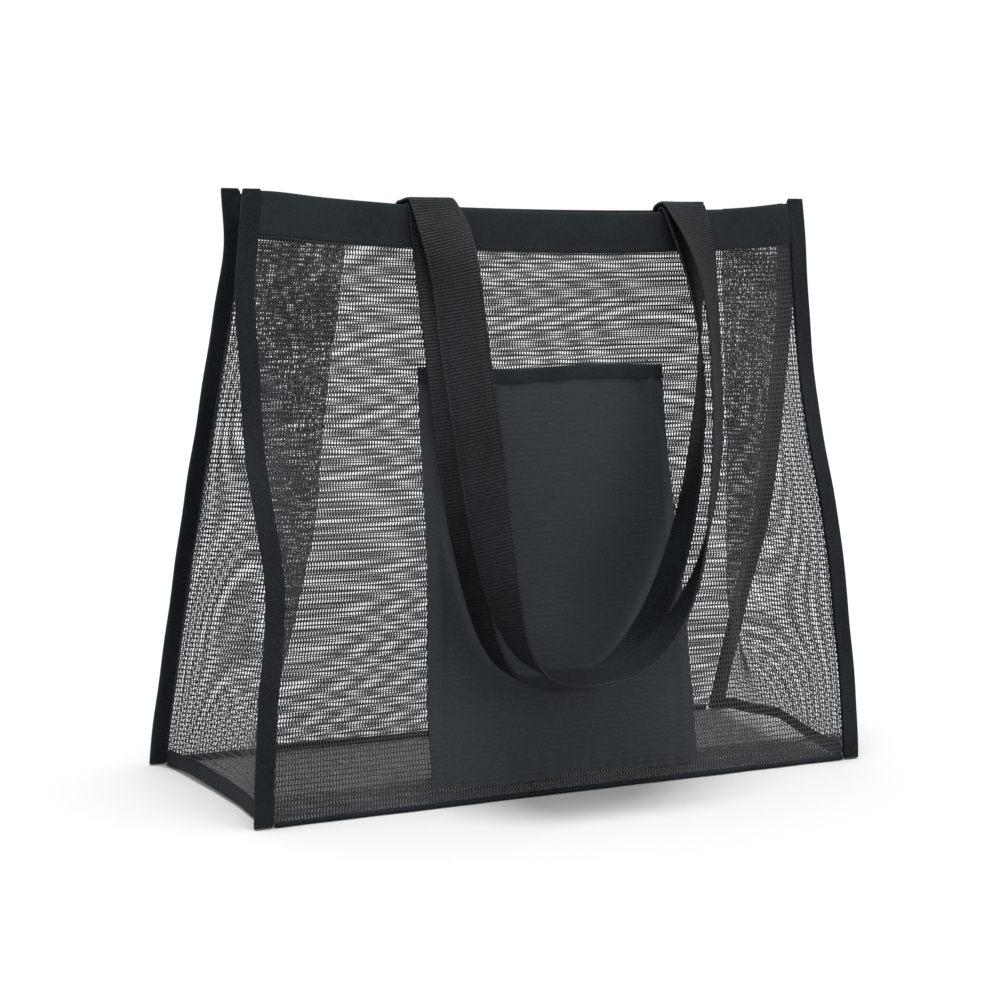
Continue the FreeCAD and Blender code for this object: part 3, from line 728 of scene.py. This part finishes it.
    def seams(self) -> bpy.types.Object:
        """The stitching along the hems and the tapes."""
        lines = []
        for wall in Wall:
            direction = self.shell.normal(wall)
            shares = np.linspace(0.035, 0.965, 120)
            x = (shares * 2 - 1) * self.shell.rim_half
            for face in (1, -1):
                row = self.shell.rim(wall, x) - self.stitch_row
                path = self.shell.wall_point(wall, shares, row, face * self.hem_stitch_off)
                lines.append((path, face * direction))
        for corner in Corner:
            side, wall = corner.value
            direction = self.shell.normal(Wall(wall))
            z = np.linspace(7, 372, 120)
            x, y, _ = self.shell.seam(corner, z)
            wave = self.tape_wave(corner, z)
            for face in (1, -1):
                off = face * self.tape_stitch_off + 0.25 * wave
                path = stack(x - side * self.tape_stitch_in + side * wave * 0.5, y + off * direction[1], z)
                lines.append((path, face * direction))
        return self.bench.run("seam_stitches", lines)

    def build(self) -> list[bpy.types.Object]:
        """Every band and tape: hems first, then tapes."""
        pieces = [self.wall_hem(wall) for wall in Wall] + [self.side_hem(side) for side in (-1, 1)]
        pieces += [self.corner_tape(corner) for corner in Corner]
        pieces += [self.side_foot(side) for side in (-1, 1)] + [self.wall_foot(wall) for wall in Wall]
        return pieces


# ---- pocket -------------------------------------------------------------------------------------------
@dataclass
class Pocket:
    """The patch pocket on the front: a puffed cloth face, a rolled hem, and its stitching."""

    shell: Shell
    bench: StitchBench
    centre: float = -5.0
    foot_half: float = 98.0
    mouth_half: float = 89.0
    foot: float = 11.5
    mouth: float = 262.0
    rib: float = 3.5
    hem: float = 9.4
    hem_half: float = 0.95

    def half(self, z: Array) -> Array:
        """Half the pocket's width at a height."""
        share = (z - self.foot) / (self.mouth + self.hem - self.foot)
        waver = 1.2 * np.sin(share * 7) * (1 - share)
        return self.foot_half + (self.mouth_half - self.foot_half) * share + waver

    def row(self, p: Array, q: Array) -> Array:
        """The height of a row of the pocket's cloth, which sags a little across."""
        return (self.foot + q * (self.mouth - self.foot) + 1.1 * np.sin(p * 5 + 0.5) * (1 - q)
                + 0.8 * np.sin(p * 4) * q)

    def face_off(self, p: Array, q: Array) -> Array:
        """How far the face stands off the front, for p from -1 to 1 across and q from 0 to 1 up."""
        edge = np.abs(p)
        crown = (1 - edge**4) * (0.35 + 0.65 * rise(0, 0.16, q))
        lean = 0.55 * np.sin(p * 2.1 + 0.9) + 0.35 * np.sin(q * 7.5 + p * 2.3)
        turning = 0.9 * rise(0.86, 0.9, edge)
        pleat = np.sin(p * 61 + 1.4 * np.sin(p * 13)) * np.exp(-q / 0.035) * 0.75 * (1 - edge**8)
        crumple = 0.8 * np.sin(p * 26 + q * 41) * np.exp(-(((p - 0.86) / 0.16) ** 2 + ((q - 0.93) / 0.10) ** 2))
        tug = 0.5 * np.sin(q * 34 + p * 9) * np.exp(-((1 - edge) / 0.09) ** 2)
        ribs = 0.03 * np.sin(2 * math.pi * q * (self.mouth - self.foot) / self.rib)
        return (1.5 + crown * (3.6 + lean) + turning * (1 - edge**14) + pleat + crumple * 0.7
                + tug * 0.4 + ribs)

    def on_front(self, x: Array, z: Array, off: Array) -> Array:
        """A point that stands off the front wall."""
        return self.shell.wall_point(Wall.FRONT, self.shell.share_at(Wall.FRONT, x, z), z, off)

    def face(self) -> bpy.types.Object:
        """The pocket's cloth."""
        columns, rows = 84, 300
        p, q = np.meshgrid(np.linspace(-1, 1, columns + 1), np.linspace(0, 1, rows + 1), indexing="ij")
        z = self.row(p, q)
        x = self.centre + p * self.half(z)
        points = self.on_front(x, z, self.face_off(p, q))
        number = np.arange(p.size).reshape(p.shape)
        quads = cells(number).reshape(-1, 4)
        flat = np.stack([x, z], axis=-1).reshape(-1, 2) * MM
        piece = new_piece("pocket_face", points, quads, flat[quads.ravel()])
        apply_modifier(piece, "SOLIDIFY", thickness=0.7 * MM, offset=-1.0)
        face_outwards(piece)
        smooth(piece, 60)
        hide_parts("pocket_panel")
        return piece

    def rolled_hem(self) -> bpy.types.Object:
        """The pocket's top hem."""
        outline = both_faces([(0, 0.7), (1.2, 1.0), (4.5, 0.85), (7.6, 1.05), (8.8, 0.8),
                              (self.hem, 0.25)], self.hem_half)
        p = np.linspace(-1, 1, 150)[:, None]
        start = self.mouth - 1.0
        droop = 0.9 * np.sin(p * 4) + 1.4 * (p**2 - 0.6)
        z = start + droop + outline[None, :, 0]
        x = self.centre + p * (self.mouth_half + 0.4)
        base = self.face_off(p * 0.97, np.ones_like(p)) - 0.1
        ripple = 0.35 * np.sin(p * 19) + 0.5 * np.sin(p * 31 + 1) * rise(0.45, 0.9, p)
        points = self.on_front(x, z, base + outline[None, :, 1] + ripple)
        piece = swept("pocket_hem", points)
        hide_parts("pocket_top_hem")
        return piece

    def stitches(self) -> bpy.types.Object:
        """The rows down both sides, along the foot and under the hem."""
        away = self.shell.normal(Wall.FRONT)
        lines = []
        for side in (-1, 1):
            for inset in (2.2, 9.5):
                q = np.linspace(0.01, 0.985, 90)
                z = self.foot + q * (self.mouth - self.foot)
                half = self.half(z)
                p = side * (1 - inset / half)
                lines.append((self.on_front(self.centre + p * half, z, self.face_off(p, q)), away))
        p = np.linspace(-0.97, 0.97, 90)
        for q in (0.012, 0.985):
            z = self.row(p, q)
            off = self.face_off(p, np.full_like(p, q))
            lines.append((self.on_front(self.centre + p * self.half(z), z, off), away))
        return self.bench.run("pocket_stitches", lines, pitch=2.9)

    def tacks(self) -> bpy.types.Object:
        """The close stitches at the mouth's two corners, and a loose thread end at the right one."""
        away = self.shell.normal(Wall.FRONT)
        lines = []
        for side in (-1, 1):
            for k in range(9):
                z = np.full(2, self.mouth + 0.3 + k * 0.95)
                x = self.centre + side * (self.mouth_half - np.array([4.6, 0.6]))
                lines.append((self.on_front(x, z, np.full(2, 3.9)), away))
        start = self.centre + self.mouth_half - 12
        z = self.mouth + 9 + np.array([0, 1.2, 2.6, 4.2, 5.6])
        x = start + np.array([0, 0.5, 0.2, 0.8, 2.2])
        lines.append((self.on_front(x, z, 3.2 + np.array([0, 0.5, 0.8, 0.7, 0.9])), away))
        piece = self.bench.run("pocket_tacks", lines, pitch=2.0)
        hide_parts("pocket_bar_tacks")
        return piece


# ---- handles ------------------------------------------------------------------------------------------
class Handle(Enum):
    """The two handles: the front one hangs next to the pocket, the back one over it."""

    FRONT = "front"
    BACK = "back"


@dataclass(frozen=True)
class Hang:
    """How one handle's loop hangs, side by side -1 and 1: (share of the drop, value) lists."""

    hinge_up: float
    drop: float
    depth: dict
    turn: dict
    bulge: dict
    taper: dict
    sway: float


@dataclass
class Handles:
    """The two webbing handles, from one sewn end to the other."""

    shell: Shell
    bench: StitchBench
    centre: float = 15.0
    spacing: float = 188.0
    width: float = 32.0
    half_thick: float = 0.85
    rib: float = 2.1
    sewn: float = 23.0
    samples: int = 700
    skew: dict = field(default_factory=lambda: {-1: 3.0, 1: 8.0})  # how far the back ends sit to the right

    def wall_frame(self, x: Array, v: Array, n: Array) -> Array:
        """A point of the flat front wall: along the rim, up the wall, outwards."""
        slope = math.atan2(self.shell.run(Wall.FRONT), self.shell.rim_height)
        y = -self.shell.half_depth + v * math.sin(slope) - n * math.cos(slope)
        return stack(x, y, v * math.cos(slope) + n * math.sin(slope))

    def wall_length(self) -> float:
        """The front wall's height along its lean."""
        return math.hypot(self.shell.run(Wall.FRONT), self.shell.rim_height)

    def hang(self, handle: Handle) -> Hang:
        """The loop of one handle, as the frame has it."""
        if handle is Handle.FRONT:
            depth = ((0, 2.8), (0.12, 4.5), (0.3, 9.2), (1, 9.2))
            return Hang(self.wall_length() + 1, 307, {-1: depth, 1: depth},
                        {-1: ((0, 0), (0.12, 16), (0.35, 32), (0.6, 58), (0.8, 86), (1, 105)),
                         1: ((0, 0), (0.12, 30), (0.35, 62), (0.6, 78), (0.8, 90), (1, 105))},
                        {-1: 3.1, 1: 3.1}, {-1: 0.03, 1: 0.14}, -30)
        depth = ((0, 5.4), (0.05, 11), (0.12, 16.5), (0.3, 24), (0.6, 38), (0.8, 44), (1, 45))
        return Hang(381.1, 305, {-1: depth, 1: depth},
                    {-1: ((0, 0), (0.1, 30), (0.35, 42), (0.6, 55), (0.8, 72), (1, 108)),
                     1: ((0, 0), (0.12, 28), (0.25, 43), (0.45, 46), (0.65, 52), (0.85, 76), (1, 104))},
                    {-1: 3.4, 1: 2.5}, {-1: 0.07, 1: -0.02}, -30)

    def leg(self, hang: Hang, side: int) -> tuple[Array, Array]:
        """One side of a hanging loop, from the rim to its lowest point.

        Args:
            hang: the loop.
            side: -1 for the left, 1 for the right.
        Returns:
            The webbing's middle line, and the direction across it.
        """
        angle = np.pi / 2 * (1 - np.linspace(0, 1, self.samples) ** 1.3)
        angle[-1] = 1e-4

        def line(at: Array) -> tuple[Array, Array, Array]:
            """The leg's x, its fall below the rim, and its share of the drop, at angles of the arch."""
            power = 2 / hang.bulge[side]
            share = np.cos(at) ** power
            across = side * np.abs(np.sin(at)) ** power
            narrow = 1 - hang.taper[side] * share
            x = self.centre + hang.sway * share**2.5 + self.spacing / 2 * across * narrow
            return x, share * hang.drop, share

        x, fall, share = line(angle)
        step = 1e-4
        ahead, behind = line(np.clip(angle - step, 0, None)), line(np.clip(angle + step, None, np.pi / 2))
        run_x, run_fall = ahead[0] - behind[0], ahead[1] - behind[1]
        run = np.hypot(run_x, run_fall) + 1e-12
        inner_x, inner_v = -side * run_fall / run, -side * run_x / run
        turn = np.radians(flow(hang.turn[side], share))
        depth = flow(hang.depth[side], share) + self.width / 2 * np.sin(turn)
        points = self.wall_frame(x, hang.hinge_up - fall, depth)
        origin = self.wall_frame(0, 0, 0)
        wide = self.wall_frame(inner_x * np.cos(turn), inner_v * np.cos(turn), np.sin(turn)) - origin
        return points, wide

    def sewn_end(self, handle: Handle, side: int) -> Array:
        """The part of one end from inside the bag to the rim, before the loop."""
        x = self.centre + side * self.spacing / 2
        if handle is Handle.FRONT:
            top = self.wall_length() - 1.6
            up = np.linspace(top + 1.6 - self.sewn, top, 40)
            inside = self.wall_frame(x, up, -2.45)
            angle = np.linspace(math.pi, 0, 14)[1:]
            over = self.wall_frame(x, top + 2.6 * np.sin(angle), 0.18 + 2.63 * np.cos(angle))
            return np.concatenate([inside, over])
        direction = self.shell.normal(Wall.BACK)
        z = np.linspace(self.shell.rim_height + 0.4 - self.sewn, 372.8, 40)
        y = self.shell.straight_y(Wall.BACK, z) - 2.5 / direction[1]
        inside = stack(x + self.skew[side], y, z)
        y = np.linspace(-3.4, -25.2, 34)
        laid = rise(-26, -2, y)
        return np.concatenate([inside, stack(x + self.skew[side] * laid, y, 376.4 - 2.2 * laid)])

    def path(self, handle: Handle) -> tuple[Array, Array]:
        """The whole webbing's middle line, and the directions across it, from left to right."""
        hang = self.hang(handle)
        lines, widths = [], []
        for side in (-1, 1):
            leg, wide = self.leg(hang, side)
            skip = 3.4 if handle is Handle.FRONT else 2.2
            keep = leg[:, 2] < leg[0, 2] - skip
            end = self.sewn_end(handle, side)
            end_wide = np.broadcast_to([-side, 0.0, 0.0], end.shape)
            line, across = np.concatenate([end, leg[keep]]), np.concatenate([end_wide, wide[keep]])
            lines.append(line if side < 0 else line[::-1][1:])
            widths.append(across if side < 0 else across[::-1][1:])
        points, wide = even_steps(np.concatenate(lines), self.rib / 4, np.concatenate(widths))
        return soften(points, 4), soften(wide, 10)

    def rings(self, points: Array, wide: Array) -> Array:
        """Carries the webbing's outline, ribbed on both faces, along its path."""
        ahead = unit(np.gradient(points, axis=0))
        across = unit(wide - (wide * ahead).sum(axis=1, keepdims=True) * ahead)
        up = np.cross(ahead, across)
        w = self.width / 2
        half_face = np.array([w - 0.15, w - 0.5, w - 1.5, w - 1.9, w - 2.6, 8, 3])
        half_level = np.array([0.45, 0.95, 1.04, 0.80, 1.0, 1.0, 1.0])
        face = np.concatenate([-half_face, half_face[::-1]])
        level = np.concatenate([half_level, half_level[::-1]])
        ribbed = np.where(np.abs(face) < w - 1.7, 0.2, 0.05)
        wave = -np.cos(np.arange(len(points)) * (2 * math.pi / 4))
        front = level * self.half_thick + ribbed * wave[:, None]
        back = level * self.half_thick - ribbed * wave[:, None]
        sides = np.concatenate([face, face[::-1]])
        heights = np.concatenate([front, -back[:, ::-1]], axis=1)
        return points[:, None] + across[:, None] * sides[None, :, None] + up[:, None] * heights[..., None]

    def front(self) -> bpy.types.Object:
        """The front handle, in one length."""
        points, wide = self.path(Handle.FRONT)
        piece = swept("front_handle_webbing", self.rings(points, wide), self.rib / 4)
        top = self.wall_length() - 0.6
        start, end = (self.wall_frame(self.centre, top, n)[()] * MM for n in (-2.2, 2.6))
        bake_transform(piece)
        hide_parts("front_handle_left_tab", "front_handle_right_tab", "front_handle_loop")
        return piece

    @staticmethod
    def crossing_ring(points: Array) -> int:
        """The number of the ring at which an end of the back handle is halfway over the mouth."""
        halfway, mouth, searched = -13.0, 370.0, 240
        low = points[:searched, 2] < mouth
        return int(np.argmin(np.abs(points[:searched, 1] - halfway) + 100 * low))

    def back(self) -> list[bpy.types.Object]:
        """The back handle: the part that crosses the mouth at each end, and the hanging part."""
        points, wide = self.path(Handle.BACK)
        rings = self.rings(points, wide)
        crossing = [self.crossing_ring(points), len(points) - 1 - self.crossing_ring(points[::-1])]
        left, right = (k - k % 4 for k in crossing)  # parted in a groove between two ribs
        pieces = []
        for label, part in (("left", rings[:left + 1]), ("right", rings[right:])):
            piece = swept(f"back_handle_{label}_end", part, self.rib / 4)
            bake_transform(piece)
            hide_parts(f"back_handle_{label}_tab", f"back_handle_{label}_crossing")
            pieces.append(piece)
        piece = swept("back_handle_webbing", rings[left:right + 1], self.rib / 4)
        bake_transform(piece)
        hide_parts("back_handle_loop")
        LOG.info("the back handle is parted at %s of %d rings", crossing, len(points))
        return pieces + [piece]

    def box_stitches(self, wall: Wall) -> bpy.types.Object:
        """A box with a cross at each sewn end, on the webbing and on the hem's outer face."""
        direction = self.shell.normal(wall)
        up = np.cross([1, 0, 0], direction) * -wall.value
        up = up if up[2] > 0 else -up
        lines = []
        half_wide, low, high = self.width / 2 - 3, self.sewn - 3, 4.0
        for side in (-1, 1):
            x = self.centre + side * self.spacing / 2 + (self.skew[side] if wall is Wall.BACK else 0)
            share = self.shell.share_at(wall, x, 365.0)
            rim = self.shell.wall_point(wall, share, self.shell.rim(wall, x), 0.0)
            corners = {name: rim + np.array([a, 0, 0]) - up * b for name, a, b in (
                ("tl", -half_wide, high), ("tr", half_wide, high),
                ("br", half_wide, low), ("bl", -half_wide, low))}
            for first, second in (("tl", "tr"), ("tr", "br"), ("br", "bl"), ("bl", "tl"), ("tl", "br"),
                                  ("tr", "bl")):
                for face, off in ((-1, 3.45), (1, 1.45)):
                    line = np.stack([corners[first], corners[second]]) + face * off * direction
                    lines.append((line, face * direction))
        piece = self.bench.run(f"{wall.name.lower()}_handle_stitches", lines, pitch=2.8)
        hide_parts(f"{wall.name.lower()}_handle_stitching")
        return piece


# ---- finishes -----------------------------------------------------------------------------------------
class Sockets:
    """A node tree with short ways to add and join nodes."""

    def __init__(self, tree: bpy.types.NodeTree) -> None:
        """Starts on an empty tree."""
        self.tree = tree
        tree.nodes.clear()

    def add(self, kind: str, **settings: object) -> bpy.types.Node:
        """Adds a node and sets its plain settings."""
        node = self.tree.nodes.new(kind)
        for name, value in settings.items():
            setattr(node, name, value)
        return node

    def plug(self, value: object, socket: bpy.types.NodeSocket) -> None:
        """Feeds a socket from another one, or sets it to a plain value."""
        if isinstance(value, bpy.types.NodeSocket):
            self.tree.links.new(value, socket)
        else:
            socket.default_value = value

    def maths(self, operation: str, first: object, second: object = 0.0) -> bpy.types.NodeSocket:
        """One sum."""
        node = self.add("ShaderNodeMath", operation=operation)
        self.plug(first, node.inputs[0])
        self.plug(second, node.inputs[1])
        return node.outputs[0]


def new_group(name: str, place: str, result: str, **values: float) -> bpy.types.NodeTree:
    """Starts a group of nodes.

    Args:
        name: the group's name.
        place: the name of its vector input.
        result: the name of its output.
        values: its plain inputs and what they are when nothing is set.
    Returns:
        The group, with no nodes yet.
    """
    group = bpy.data.node_groups.new(name, "ShaderNodeTree")
    group.interface.new_socket(place, in_out="INPUT", socket_type="NodeSocketVector")
    for label, value in values.items():
        socket = group.interface.new_socket(label, in_out="INPUT", socket_type="NodeSocketFloat")
        socket.default_value = value
    group.interface.new_socket(result, in_out="OUTPUT", socket_type="NodeSocketFloat")
    return group


def make_fleck_group() -> bpy.types.NodeTree:
    """Uneven dye and stray fibres: two sizes of noise mixed to one value."""
    group = new_group("fibre_fleck", "Place", "Value", Fine=900.0, Broad=14.0)
    g = Sockets(group)
    entry, leave = g.add("NodeGroupInput"), g.add("NodeGroupOutput")
    fine = g.add("ShaderNodeTexNoise")
    fine.inputs["Detail"].default_value = 3.0
    broad = g.add("ShaderNodeTexNoise")
    broad.inputs["Detail"].default_value = 4.0
    for node, scale in ((fine, "Fine"), (broad, "Broad")):
        g.plug(entry.outputs["Place"], node.inputs["Vector"])
        g.plug(entry.outputs[scale], node.inputs["Scale"])
    mixed = g.maths("ADD", g.maths("MULTIPLY", fine.outputs[0], 0.55),
                    g.maths("MULTIPLY", broad.outputs[0], 0.45))
    g.plug(mixed, leave.inputs["Value"])
    return group


def make_rib_group() -> bpy.types.NodeTree:
    """Woven ribs: bars along one way, each parted into threads the other way."""
    group = new_group("woven_ribs", "Cloth", "Height", Rib=0.002, Thread=0.0008, Parting=0.4)
    g = Sockets(group)
    entry, leave = g.add("NodeGroupInput"), g.add("NodeGroupOutput")
    split = g.add("ShaderNodeSeparateXYZ")
    g.plug(entry.outputs["Cloth"], split.inputs[0])
    bar = g.maths("DIVIDE", split.outputs[1], entry.outputs["Rib"])
    thread = g.maths("DIVIDE", split.outputs[0], entry.outputs["Thread"])
    row = g.maths("MULTIPLY", g.maths("FLOOR", bar), 0.5)
    bars = g.maths("ABSOLUTE", g.maths("SINE", g.maths("MULTIPLY", bar, math.pi)))
    offset = g.maths("ADD", thread, row)
    threads = g.maths("ABSOLUTE", g.maths("SINE", g.maths("MULTIPLY", offset, math.pi)))
    parted = g.maths("MULTIPLY", threads, entry.outputs["Parting"])
    rest = g.maths("SUBTRACT", 1.0, entry.outputs["Parting"])
    g.plug(g.maths("MULTIPLY", bars, g.maths("ADD", parted, rest)), leave.inputs["Height"])
    return group


@dataclass(frozen=True)
class Finish:
    """One cloth's finish: its dye, with painted shade in the grooves of ribbed cloths, its sheen and its weave.
    Pitches are in metres of cloth.
    """

    name: str
    slot: str
    dark: tuple[float, float, float]
    light: tuple[float, float, float]
    rough: tuple[float, float]
    rib: float = 0.0
    thread: float = 0.0008
    parting: float = 0.4
    bump: float = 0.5
    depth: float = 0.0002
    fine: float = 900.0
    broad: float = 14.0
    specular: float = 0.3
    sheen: float = 0.0

    def material(self, fleck: bpy.types.NodeTree, ribs: bpy.types.NodeTree) -> bpy.types.Material:
        """Builds the finish.

        Args:
            fleck: the uneven dye.
            ribs: the woven ribs, which give the bump and the painted shade in the grooves.
        Returns:
            The material.
        """
        material = bpy.data.materials.new(self.name)
        material.use_nodes = True
        g = Sockets(material.node_tree)
        shader, out = g.add("ShaderNodeBsdfPrincipled"), g.add("ShaderNodeOutputMaterial")
        g.plug(shader.outputs[0], out.inputs[0])
        shader.inputs["Specular IOR Level"].default_value = self.specular
        shader.inputs["Sheen Weight"].default_value = self.sheen
        shader.inputs["Sheen Roughness"].default_value = 0.4
        place = g.add("ShaderNodeTexCoord")
        uneven = g.add("ShaderNodeGroup", node_tree=fleck)
        g.plug(place.outputs["Object"], uneven.inputs["Place"])
        uneven.inputs["Fine"].default_value = self.fine
        uneven.inputs["Broad"].default_value = self.broad
        tone = g.add("ShaderNodeMapRange")
        g.plug(uneven.outputs[0], tone.inputs["Value"])
        tone.inputs["From Min"].default_value, tone.inputs["From Max"].default_value = 0.36, 0.64
        share, height = tone.outputs[0], uneven.outputs[0]
        if self.rib:
            cloth = g.add("ShaderNodeUVMap", uv_map="cloth")
            woven = g.add("ShaderNodeGroup", node_tree=ribs)
            g.plug(cloth.outputs[0], woven.inputs["Cloth"])
            for name, value in (("Rib", self.rib), ("Thread", self.thread), ("Parting", self.parting)):
                woven.inputs[name].default_value = value
            # painted shade: the dye is darkened in the grooves between the ribs, on top of its random
            # unevenness
            share = g.maths("MULTIPLY", share, g.maths("ADD", g.maths("MULTIPLY", woven.outputs[0], 0.7), 0.3))
            height = g.maths("ADD", woven.outputs[0], g.maths("MULTIPLY", uneven.outputs[0], 0.25))
        dye = g.add("ShaderNodeMix", data_type="RGBA")
        g.plug(share, dye.inputs[0])
        dye.inputs[6].default_value = (*self.dark, 1)
        dye.inputs[7].default_value = (*self.light, 1)
        g.plug(dye.outputs[2], shader.inputs["Base Color"])
        gloss = g.add("ShaderNodeMapRange")
        g.plug(share, gloss.inputs["Value"])
        gloss.inputs["To Min"].default_value, gloss.inputs["To Max"].default_value = self.rough
        g.plug(gloss.outputs[0], shader.inputs["Roughness"])
        relief = g.add("ShaderNodeBump")
        relief.inputs["Strength"].default_value = self.bump
        relief.inputs["Distance"].default_value = self.depth
        g.plug(height, relief.inputs["Height"])
        g.plug(relief.outputs[0], shader.inputs["Normal"])
        return material


class Cloth(Enum):
    """The bag's five cloths and its thread."""

    NET = Finish("net_yarn", "mesh", (0.018, 0.021, 0.023), (0.050, 0.054, 0.057), (0.56, 0.42), bump=0.35,
                 fine=1500.0, specular=0.12)
    HEM = Finish("hem_weave", "hem_webbing", (0.009, 0.0118, 0.014), (0.021, 0.0255, 0.029), (0.74, 0.62),
                 rib=0.0009, thread=0.0009, parting=0.5, bump=0.5, depth=0.00012, broad=26.0, specular=0.06)
    TAPE = Finish("seam_tape", "binding_tape", (0.005, 0.007, 0.0085), (0.017, 0.021, 0.0235), (0.66, 0.54),
                  rib=0.0011, thread=0.0007, parting=0.25, bump=0.6, depth=0.00015, specular=0.07)
    WEBBING = Finish("handle_webbing", "strap_webbing", (0.001, 0.0016, 0.0022), (0.018, 0.022, 0.025),
                     (0.54, 0.4), rib=0.0021, thread=0.0016, parting=0.35, bump=0.8, depth=0.0003,
                     specular=0.14)
    POCKET = Finish("pocket_cloth", "pocket_cloth", (0.017, 0.021, 0.0235), (0.029, 0.034, 0.0375), (0.5, 0.4),
                    rib=0.0035, thread=0.0006, parting=0.15, bump=0.18, depth=0.0002, fine=700.0, broad=9.0,
                    specular=0.12)
    THREAD = Finish("sewing_thread", "thread", (0.010, 0.012, 0.014), (0.030, 0.034, 0.037), (0.5, 0.38),
                    bump=0.4, fine=2500.0, specular=0.12)


# ---- the studio ---------------------------------------------------------------------------------------
@dataclass
class Studio:
    """A pale floor, soft light and the camera."""

    floor_half: float = 6.0
    camera_at: tuple[float, float, float] = (-0.743, -1.352, 0.3818)
    azimuth: float = -28.41
    pitch: float = 7.52
    roll: float = 1.10
    lens: float = 84.15

    def floor(self) -> None:
        """A wide pale floor."""
        deselect()
        bpy.ops.mesh.primitive_grid_add(x_subdivisions=8, y_subdivisions=8, size=2 * self.floor_half)
        floor = bpy.context.object
        floor.name = "studio_floor"
        material = bpy.data.materials.new("floor_paper")
        material.use_nodes = True
        shader = material.node_tree.nodes["Principled BSDF"]
        shader.inputs["Base Color"].default_value = (0.51, 0.51, 0.51, 1)
        shader.inputs["Roughness"].default_value = 0.9
        shader.inputs["Specular IOR Level"].default_value = 0.0
        floor.data.materials.append(material)

    def sun(self, name: str, towards: tuple[float, float, float], spread: float, strength: float) -> None:
        """One soft distant lamp, which lights the whole floor evenly."""
        data = bpy.data.lights.new(name, "SUN")
        data.angle, data.energy = math.radians(spread), strength
        item = bpy.data.objects.new(name, data)
        item.rotation_euler = Vector(towards).to_track_quat("-Z", "Y").to_euler()
        bpy.context.collection.objects.link(item)

    def camera(self) -> None:
        """The camera, from its place and its three angles."""
        a, e, r = (math.radians(v) for v in (self.azimuth, self.pitch, self.roll))
        back = Vector((math.sin(a) * math.cos(e), -math.cos(a) * math.cos(e), math.sin(e)))
        right = Vector((math.cos(a), math.sin(a), 0))
        up = back.cross(right)
        right, up = right * math.cos(r) + up * math.sin(r), up * math.cos(r) - right * math.sin(r)
        data = bpy.data.cameras.new("camera")
        data.lens, data.sensor_width = self.lens, 36.0
        data.clip_end = 50
        item = bpy.data.objects.new("camera", data)
        turned = Matrix((right, up, back)).transposed().to_4x4()
        item.matrix_world = Matrix.Translation(self.camera_at) @ turned
        bpy.context.collection.objects.link(item)
        bpy.context.scene.camera = item

    def build(self) -> None:
        """The whole studio."""
        self.floor()
        self.sun("key_lamp", (1.6, 1.9, -2.2), 40, 0.5)
        self.sun("fill_lamp", (-2.2, 1.6, -1.4), 60, 0.3)
        self.sun("top_lamp", (0.05, 0.1, -1.0), 30, 3.1)
        world = bpy.data.worlds.new("studio_air")
        world.use_nodes = True
        world.node_tree.nodes["Background"].inputs[0].default_value = (1, 1, 1, 1)
        world.node_tree.nodes["Background"].inputs[1].default_value = 1.0
        bpy.context.scene.world = world
        bpy.context.scene.view_settings.view_transform = "Standard"
        self.camera()


def dress(pieces: Sequence[bpy.types.Object], material: bpy.types.Material) -> None:
    """Gives pieces one finish."""
    for piece in pieces:
        piece.data.materials.clear()
        piece.data.materials.append(material)
        LOG.info("%s: %d faces, %s", piece.name, len(piece.data.polygons), material.name)


def main() -> None:
    """Builds the bag, dresses it, and sets up the studio."""
    logging.basicConfig(level=logging.INFO, format="%(name)s: %(message)s")
    shell = Shell.from_frame()
    bench = StitchBench()
    nets = NetWalls(shell).build()
    edging = Edging(shell, bench)
    bands = edging.build()
    pocket = Pocket(shell, bench)
    handles = Handles(shell, bench)
    webbing = [handles.front()] + handles.back()
    threads = [edging.seams(), pocket.stitches(), pocket.tacks()]
    threads += [handles.box_stitches(wall) for wall in Wall]
    clothed = {
        Cloth.NET: nets,
        Cloth.HEM: bands[:4] + [pocket.rolled_hem()],
        Cloth.TAPE: bands[4:],
        Cloth.WEBBING: webbing,
        Cloth.POCKET: [pocket.face()],
        Cloth.THREAD: threads,
    }
    fleck, ribs = make_fleck_group(), make_rib_group()
    for cloth, pieces in clothed.items():
        dress(pieces, cloth.value.material(fleck, ribs))
        if cloth is not Cloth.WEBBING:
            for piece in pieces:
                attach(piece, "bag")
    Studio().build()
    deselect()


if __name__ == "__main__":
    main()
